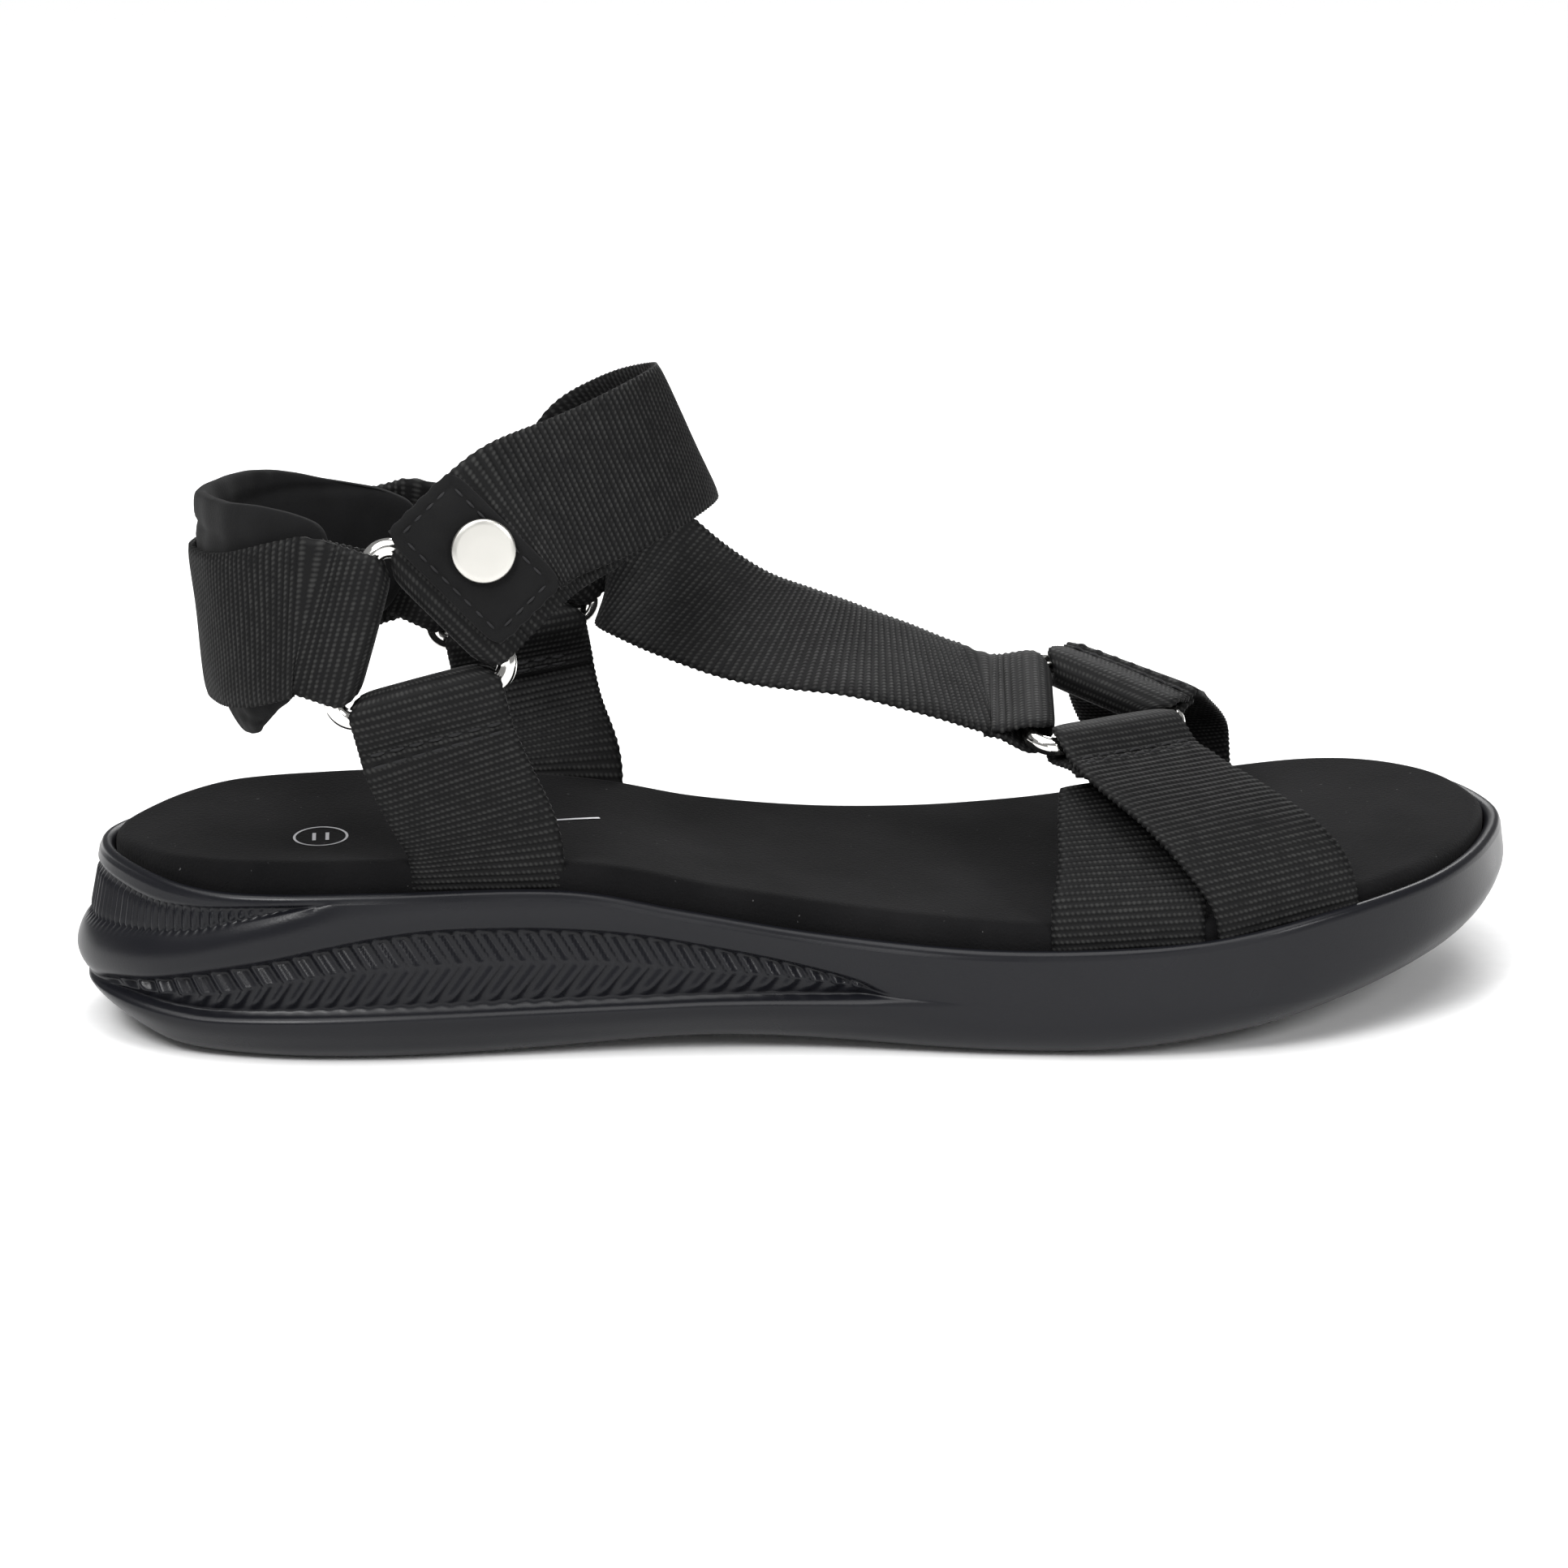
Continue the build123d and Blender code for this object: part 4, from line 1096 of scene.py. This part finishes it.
def dress_long_strap():
    """One strap from the forefoot ring to its closing end, cut in two: a fixed length, and the closing flap.
    """
    start = instep()
    turned = len(loop(INNER, 2, PASS_LENGTH))
    whole = start + same_way(backwards(over_ankle())[turned:], start[-1][1])
    run, middle, *_ = dense(whole, 0.25)
    hinge = frames(over_ankle())[15][0]
    at = run[int(np.argmin(np.linalg.norm(middle - hinge, axis=1)))]
    cut = at - 14.0
    fixed = build_webbing("long_strap_woven", whole, seed=21, trim=(0, run[-1] - cut))
    finish_piece(fixed, "sandal", "webbing", "long_strap")
    flap = build_webbing("closure_flap_woven", whole, seed=21, trim=(cut - WEAVE_STEP, 0))
    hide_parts("closure_flap")
    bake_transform(flap)


def short_strap():
    """Stations of the closure's anchor: a turn round the ring, then a run under the closing strap."""
    start = loop(OUTER, 1, 15.0)
    under = lifted(over_ankle()[:16], LAYER_GAP, END_SHIFT)[7:13]
    return start + same_way(under, start[-1][1])


def dress_pad():
    pad = build_pad()
    finish_piece(pad, "sandal", "pad_cloth", "heel_pad")


def dress_patch():
    patch, threads = build_patch()
    finish_piece(patch, "closure", "patch", "closure_patch")
    for thread in threads:
        finish_piece(thread, "closure", "patch")


def dress_stud():
    """The press stud: cap and socket on the closing strap, stud and its back on the short one."""
    top, inside, face = PATCH_TOP, FLAP_INSIDE, SHORT_FACE
    cap = [
        (0.02, inside - 0.45), (1.1, inside - 0.45), (1.1, top), (4.8, top + 0.05), (5.1, top + 0.35),
        (5.1, top + 0.85), (4.9, top + 1.12), (4.3, top + 1.30), (2.4, top + 1.35), (0.02, top + 1.36),
    ]
    socket = [
        (1.15, inside - 0.05), (4.1, inside - 0.05), (4.1, inside - 0.55), (3.0, inside - 0.75),
        (2.9, inside - 1.5), (1.95, inside - 1.5), (1.95, inside - 0.5), (1.15, inside - 0.5),
        (1.15, inside - 0.1),
    ]
    stud = [
        (0.02, -face - 0.7), (1.1, -face - 0.7), (1.1, face + 0.05), (3.6, face + 0.05), (3.7, face + 0.45),
        (2.4, face + 0.7), (1.35, face + 0.85), (1.8, face + 1.5), (1.3, face + 2.0), (0.02, face + 2.02),
    ]
    back = [
        (1.15, -face - 0.05), (3.7, -face - 0.05), (3.6, -face - 0.5), (2.2, -face - 0.75),
        (1.15, -face - 0.75), (1.15, -face - 0.1),
    ]
    finish_piece(lathe("snap_cap_domed", rounded(cap, 0.25), M_CAP), "closure", "metal", "snap_cap")
    for name, body, profile in (
        ("snap_socket", "closure", socket),
        ("snap_stud", "sandal", stud),
        ("snap_stud_back", "sandal", back),
    ):
        finish_piece(lathe(name + "_turned", rounded(profile), M_CHROME), body, "metal", name)


def dress_tapes(short):
    """Hook and loop tape between the closure's two straps."""
    reach = (LAYER + TAPE) / 2 + FIT
    for name, body, stations, seed in (
        ("hook_tape", "closure", lifted(over_ankle()[:15], reach)[5:12], 31),
        ("loop_tape", "sandal", lifted(short, -reach)[14:20], 32),
    ):
        tape = build_webbing(name + "_pile", stations, M_TAPE, TAPE, TAPE_WIDTH, 0.22, seed)
        finish_piece(tape, body, "tape", name)


def dress_rings():
    for name, body, ring in (
        ("ring_lateral", "lateral_ring", OUTER),
        ("ring_medial", "medial_ring", INNER),
        ("ring_forefoot", "forefoot_ring", FORE),
    ):
        finish_piece(build_ring(name + "_wire", ring), body, "metal", name)


def dress():
    dress_sole()
    dress_footbed()
    dress_legs()
    dress_long_strap()
    short = short_strap()
    finish_piece(build_webbing("short_strap_woven", short, seed=9), "sandal", "webbing", "short_strap")
    dress_pad()
    dress_patch()
    dress_stud()
    dress_tapes(short)
    dress_rings()


dress()


# ---- floor, light and camera
FLOOR_REACH = 12.0
WORLD_LIGHT = 0.25
SKY_LIGHT = 2.6
LAMPS = (
    ("key", (-0.45, -0.60, 0.75), 0.32, 5.0),
    ("side", (0.50, -0.75, 0.60), 0.28, 3.5),
    ("rim", (0.20, 0.75, 0.60), 0.45, 4.0),
    ("front", (0.20, -1.60, 0.12), 1.20, 5.0),
)
CAMERA_TURN = math.radians(-6.0)
CAMERA_RISE = math.radians(16.5)
CAMERA_REACH = 0.681
CAMERA_TARGET = Vector((-0.00487, 0.0, 0.0367))


def build_floor():
    data = bpy.data.meshes.new("floor")
    r = FLOOR_REACH
    data.from_pydata([(-r, -r, 0), (r, -r, 0), (r, r, 0), (-r, r, 0)], [], [(0, 1, 2, 3)])
    mat, tree, shader = material("floor_paper", (0.93, 0.93, 0.93), 0.9, specular=0.0)
    grain = noise(tree, 300, 2)
    tone = ramp(tree, grain.outputs["Fac"], [(0.3, 0.92), (0.7, 0.94)])
    tree.links.new(tone.outputs["Color"], shader.inputs["Base Color"])
    data.materials.append(mat)
    linked("floor", data)


def light():
    """An even white sky with a broad sun, and four soft lamps (name, place, size, power)."""
    world = bpy.data.worlds.new("world")
    bpy.context.scene.world = world
    world.use_nodes = True
    background = world.node_tree.nodes["Background"]
    background.inputs["Color"].default_value = (1, 1, 1, 1)
    background.inputs["Strength"].default_value = WORLD_LIGHT
    sun = bpy.data.lights.new("sky", "SUN")
    sun.energy = SKY_LIGHT
    sun.angle = math.radians(60)
    linked("sky", sun).rotation_euler = (math.radians(12), math.radians(-10), 0)
    for name, place, size, power in LAMPS:
        lamp = bpy.data.lights.new(name, "AREA")
        lamp.shape = "SQUARE"
        lamp.size = size
        lamp.energy = power
        obj = linked(name, lamp)
        obj.location = place
        obj.rotation_euler = (Vector((0, 0, 0.04)) - Vector(place)).to_track_quat("-Z", "Y").to_euler()


def camera():
    back = Vector((
        math.sin(CAMERA_TURN) * math.cos(CAMERA_RISE),
        -math.cos(CAMERA_TURN) * math.cos(CAMERA_RISE),
        math.sin(CAMERA_RISE),
    ))
    data = bpy.data.cameras.new("camera")
    data.sensor_width = 36.0
    data.lens = 91.3
    data.clip_start = 0.01
    obj = linked("camera", data)
    obj.location = CAMERA_TARGET + back * CAMERA_REACH
    obj.rotation_euler = (-back).to_track_quat("-Z", "Y").to_euler()
    bpy.context.scene.camera = obj


build_floor()
light()
camera()
bpy.context.scene.view_settings.view_transform = "Standard"
